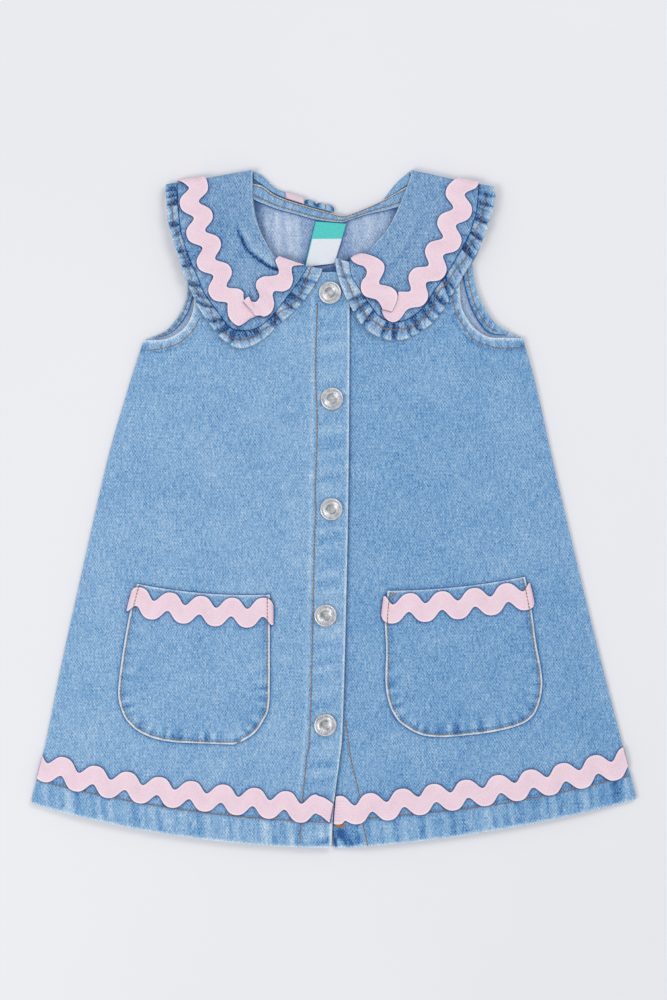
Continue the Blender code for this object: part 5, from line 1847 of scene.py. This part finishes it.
def collar_side_braid(side):
    """(distances, points, length) before the collar is folded."""
    table = COLLAR_SIDE_BRAID[side]
    middle = Route(table["route"])
    wave_end = table["wave_end"]
    distance = braid_steps(wave_end)
    high, low = braid_edges(distance, table["first_crest"], table["pitch"])
    offset = braid_rows(low, high)
    points = middle.at(distance) + middle.normal(distance) * offset[..., None]
    rungs = ((*points[-1, -1], *points[-1, 0]), *table["rungs"])
    end = rung_points(rungs, 3 * len(rungs) + 7)[1:]
    reach = np.linspace(0, RUNGS_LENGTH, len(end) + 1)[1:, None]
    distance = np.concatenate([distance, wave_end + reach])
    return distance, np.concatenate([points, end]), wave_end + RUNGS_LENGTH


def make_collar_side_braid(collar):
    distance, points, length = collar_side_braid(collar.side)

    def place(x, y, distance, height):
        off = FOLD_EASE * smooth(2 * (1 - distance / BRAID_ON_FOLD))
        return collar.lay(x, y, WALL / 2 + height + off)

    braid_shell(f"ricrac_collar_{collar.side}_side", distance, points, place, length)


def collar_front_braid(side):
    rungs = COLLAR_FRONT_BRAID[side]
    length = Route(rungs).length / math.sqrt(2)
    points = rung_points(rungs, int(length / BRAID_STEP) + 2)
    return np.linspace(0, length, len(points))[:, None], points, length


def make_collar_front_braid(collar):
    distance, points, length = collar_front_braid(collar.side)

    def place(x, y, distance, height):
        off = (BRAID_WALL + BRAID_CROWN + GAP) * (1 - smooth((distance - LAP_LENGTH) / LAP_FALL))
        return collar.lay(x, y, WALL / 2 + height + off)

    braid_shell(f"ricrac_collar_{collar.side}_front", distance, points, place, length)


# ---- Pockets ----
POCKET_WIDTH, POCKET_LENGTH = 85.0, 100.0
POCKET_STITCH_INSET = 1.7
POCKET_PUCKER = 9.5
POCKET_RIM = ((0.3, 1.1, 1.6),)
POCKET_SEAM = ((2.9, 1.0, -0.5),)
POCKET_TOP = ((0.2, 0.9, 1.2),)


def pocket_patch(side):
    return Patch(*POCKETS[side]["sides"], POCKETS[side]["sag"], 0.0)


def pocket_outline(side):
    shares = np.linspace(0, 1, 40)
    patch = pocket_patch(side)
    top, bottom = patch.by_share(shares, 0.0), patch.by_share(shares, 1.0)
    return np.concatenate([top, patch.inner.points, bottom[::-1], patch.outer.points[::-1]])


def pocket_braid(side):
    """(distances, points, length), with rounded corners past the pocket's sides."""
    patch, table = pocket_patch(side), POCKETS[side]
    width = float(patch.width(BRAID_ON_POCKET))
    length = width + 2 * BRAID_OVERHANG
    distance = braid_steps(length) - BRAID_OVERHANG
    high, low = braid_edges(distance, table["first_crest"], table["pitch"])
    end = np.minimum(distance + BRAID_OVERHANG, width + BRAID_OVERHANG - distance)
    turned = np.clip(1 - end / BRAID_CORNER, 0.0, 0.98)
    corner = BRAID_CORNER * (1 - np.sqrt(1 - turned**2))
    offset = braid_rows(low + corner, high - corner)
    return distance, patch.by_distance(distance / width, BRAID_ON_POCKET - offset), length


def make_pocket(side):
    table, patch = POCKETS[side], pocket_patch(side)
    down = bordered(62, POCKET_LENGTH)[:, None]
    x, y = xy(patch.by_share(bordered(58, POCKET_WIDTH), down))
    around = Route(np.vstack([table["sides"][0], table["sides"][1][::-1]]))
    away, along = around.nearest(x, y)
    puckers = uneven_wave(along, POCKET_PUCKER, table["pucker_start"])
    reach = smooth(away / 1.5) * smooth((12 - away) / 8)
    ripple = reach * puckers * mix(0.35, 1.0, smooth((down - 0.35) / 0.25))
    wear = SIDE_TINT[side] - 0.07 + 0.75 * ripple + lines(away, POCKET_RIM)
    wear = wear + lines(away, POCKET_SEAM) * (1 + 0.6 * puckers)
    wear = wear + lines(down * patch.length, POCKET_TOP)
    braid_distance, braid_points, braid_length = pocket_braid(side)
    width = braid_length - 2 * BRAID_OVERHANG

    def low(x, y):
        return front_top(x, y, side) + GAP

    base = low(x, y)
    # The pocket gets painted shade beside its braid.
    obj = shell(
        f"pocket_{side}", joined(x, y, base + WALL + PUCKER_HEIGHT * ripple), joined(x, y, base),
        ["denim", "denim_inside"], cut_from(x, y, table["seed"]), wear,
        close=closest([outline_of(braid_points)], x, y),
    )
    declare(obj, 101.0, 118.0)

    def braid_place(x, y, distance, height):
        """Past the pocket's sides the braid drops to the front."""
        past = np.maximum(-distance, distance - width)
        drop = (WALL + GAP) * smooth((past - 0.7) / 1.8)
        return joined(x, y, low(x, y) + WALL + height - drop)

    braid_shell(f"ricrac_pocket_{side}", braid_distance, braid_points, braid_place, braid_length)

    def stitch_place(distance, offset, height):
        """The sides' stitching runs over the braid near the top corners."""
        inset = POCKET_STITCH_INSET + offset
        x, y = xy(around.at(distance) + around.normal(distance) * inset[..., None])
        down = np.minimum(distance, around.length - distance)
        first_half = distance < around.length / 2
        near = np.where(first_half, POCKET_STITCH_INSET, width - POCKET_STITCH_INSET)
        high_edge, low_edge = braid_edges(near, table["first_crest"], table["pitch"])
        over = smooth(BRAID_ON_POCKET - low_edge - down + 1)
        over = over * smooth(down + 1 - BRAID_ON_POCKET + high_edge)
        return joined(x, y, low(x, y) + WALL + height + over * (GAP + BRAID_WALL))

    stitches(f"stitch_pocket_{side}", around.length, stitch_place)
    for tack in table["tacks"]:
        stitch_route(f"tack_pocket_{side}", tack, lambda x, y: low(x, y) + WALL, **TACK)


# ---- Buttons: the turned profile as (radius, height, painted shading) from the rim's foot ----
# The painted shading darkens the grooves and lightens the crests.
BUTTON_PROFILE = (
    (6.4, 0.0, -0.6), (7.1, 0.15, -0.6), (7.35, 0.5, -0.2), (7.4, 0.9, 0.1), (7.3, 1.3, 0.3),
    (7.05, 1.6, 0.5), (6.75, 1.74, 0.5), (6.45, 1.72, 0.2), (6.1, 1.66, -0.5), (5.6, 1.66, -0.2),
    (5.2, 1.7, -0.1), (4.95, 1.8, 0.1), (4.7, 2.0, 0.3), (4.4, 2.14, 0.5), (4.0, 2.18, 0.2),
    (3.6, 2.1, 0.0), (3.2, 1.92, -0.4), (2.8, 1.76, -0.7), (2.4, 1.66, -0.4), (1.9, 1.6, -0.2),
    (1.2, 1.56, -0.2), (0.6, 1.54, -0.1), (0.12, 1.53, -0.1),
)
BUTTON_SIDES = 96
BEADS = 26
BEAD_RING = (5.8, 0.45, 0.14)  # radius, half breadth and height
# how much painted highlight each bead gets
BEAD_SHINE = 0.8
BUTTON_MIDDLE = 1.4  # height of the face's middle
BUTTON_TURN = 0.4  # each button is turned this much more than the last
BUTTON_STEP = 20.0  # how far apart the buttons lie in the metal's pattern


def make_button(number, centre_x, centre_y):
    base = front_top(np.array(centre_x), np.array(centre_y), "left") + GAP
    radius, height, relief_shading = np.array(BUTTON_PROFILE).T[:, :, None]
    angle = np.arange(BUTTON_SIDES) * TURN / BUTTON_SIDES
    ring, breadth, rise = BEAD_RING
    turn = BUTTON_TURN * number
    bead = hump(radius, ring, breadth) * np.maximum(np.cos(BEADS * angle), 0.0)
    x, y = radius * np.cos(angle + turn), radius * np.sin(angle + turn)
    points = joined(centre_x + x, centre_y + y, base + height + rise * bead).reshape(-1, 3)
    middles = ((centre_x, centre_y, base), (centre_x, centre_y, base + BUTTON_MIDDLE))
    start = np.arange(0, BUTTON_SIDES, 2)
    fan = np.stack([start, (start + 1) % BUTTON_SIDES, (start + 2) % BUTTON_SIDES], axis=1)
    top = (len(BUTTON_PROFILE) - 1) * BUTTON_SIDES
    faces = np.vstack([
        tube_faces(len(BUTTON_PROFILE), BUTTON_SIDES),
        np.insert(fan[:, ::-1], 3, len(points), axis=1),
        np.insert(top + fan, 3, len(points) + 1, axis=1),
    ])
    level = BUTTON_STEP * number
    cloth = np.vstack([joined(x, y, height + level).reshape(-1, 3), [[0, 0, level]] * 2])
    # the relief's painted shading, with a painted highlight on each bead
    wear = np.append(relief_shading + BEAD_SHINE * bead, [0.0, 0.1])
    attributes = {"cloth": cloth, "wear": wear}
    points = np.vstack([points, middles])
    obj = add_mesh(f"button_{number}{SHOWN}", points, faces, attributes, ["button_metal"])
    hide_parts(f"button_{number}")


# ---- Stage ----
FLOOR_HALF = 3.0
LIGHTS = (  # name, place, power and colour
    ("key", (-0.95, -0.55, 1.4), 9.0, (1.0, 0.99, 0.97)),
    ("fill", (0.75, 0.9, 1.4), 7.0, (1.0, 0.99, 0.98)),
)
LIGHT_SIZE = 0.8
ROOM_COLOUR = (0.95, 0.965, 1.0, 1.0)
ROOM_LIGHT = 0.66
CAMERA_LENS = 85.0
SENSOR = 36.0
PHOTO_HEIGHT = 0.65  # metres of the floor that the photo's long side takes in
PHOTO_CENTRE_Y = 0.006
CLOTH_MIDDLE_Z = 0.005


def make_floor():
    mesh = bpy.data.meshes.new("floor")
    corner = ((-1, -1), (1, -1), (1, 1), (-1, 1))
    mesh.from_pydata([(FLOOR_HALF * x, FLOOR_HALF * y, 0) for x, y in corner], [], [(0, 1, 2, 3)])
    mesh.materials.append(MATERIALS["floor"])
    add_to_scene("floor", mesh)


def make_light(name, place, power, colour):
    """A round soft light that looks at the middle of the dress."""
    light = bpy.data.lights.new(name, "AREA")
    light.shape = "DISK"
    light.size = LIGHT_SIZE
    light.energy = power
    light.color = colour
    obj = add_to_scene(name, light)
    obj.location = place
    obj.rotation_mode = "QUATERNION"
    obj.rotation_quaternion = (-Vector(place)).to_track_quat("-Z", "Y")


def make_stage():
    make_floor()
    for settings in LIGHTS:
        make_light(*settings)
    world = bpy.data.worlds.new("studio")
    world.use_nodes = True
    background = world.node_tree.nodes["Background"]
    background.inputs["Color"].default_value = ROOM_COLOUR
    background.inputs["Strength"].default_value = ROOM_LIGHT
    camera = bpy.data.cameras.new("camera")
    camera.lens = CAMERA_LENS
    camera.sensor_width = SENSOR
    obj = add_to_scene("camera", camera)
    distance = PHOTO_HEIGHT / SENSOR * CAMERA_LENS
    obj.location = (0.0, PHOTO_CENTRE_Y, distance + CLOTH_MIDDLE_Z)
    scene = bpy.context.scene
    scene.world = world
    scene.camera = obj
    scene.view_settings.view_transform = "Standard"


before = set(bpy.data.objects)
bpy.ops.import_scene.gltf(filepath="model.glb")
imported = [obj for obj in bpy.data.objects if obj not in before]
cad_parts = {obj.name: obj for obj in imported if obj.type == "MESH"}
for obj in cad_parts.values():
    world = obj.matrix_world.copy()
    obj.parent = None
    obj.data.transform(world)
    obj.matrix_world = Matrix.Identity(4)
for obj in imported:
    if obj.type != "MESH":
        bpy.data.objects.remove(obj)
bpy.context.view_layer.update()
MATERIALS = make_materials()
make_back()
make_neck_band()
make_label()
make_facings()
for side in ("right", "left"):
    make_front(side)
make_front_stitching()
for side in ("left", "right"):
    make_hem_braid(side)
    make_pocket(side)
for side in ("left", "right"):
    collar = Collar(side)
    make_collar(collar)
    make_ruffle(collar)
    make_collar_side_braid(collar)
    make_collar_front_braid(collar)
make_rolls()
for number, (x, y) in enumerate(BUTTONS, start=1):
    make_button(number, x, y)
make_stage()
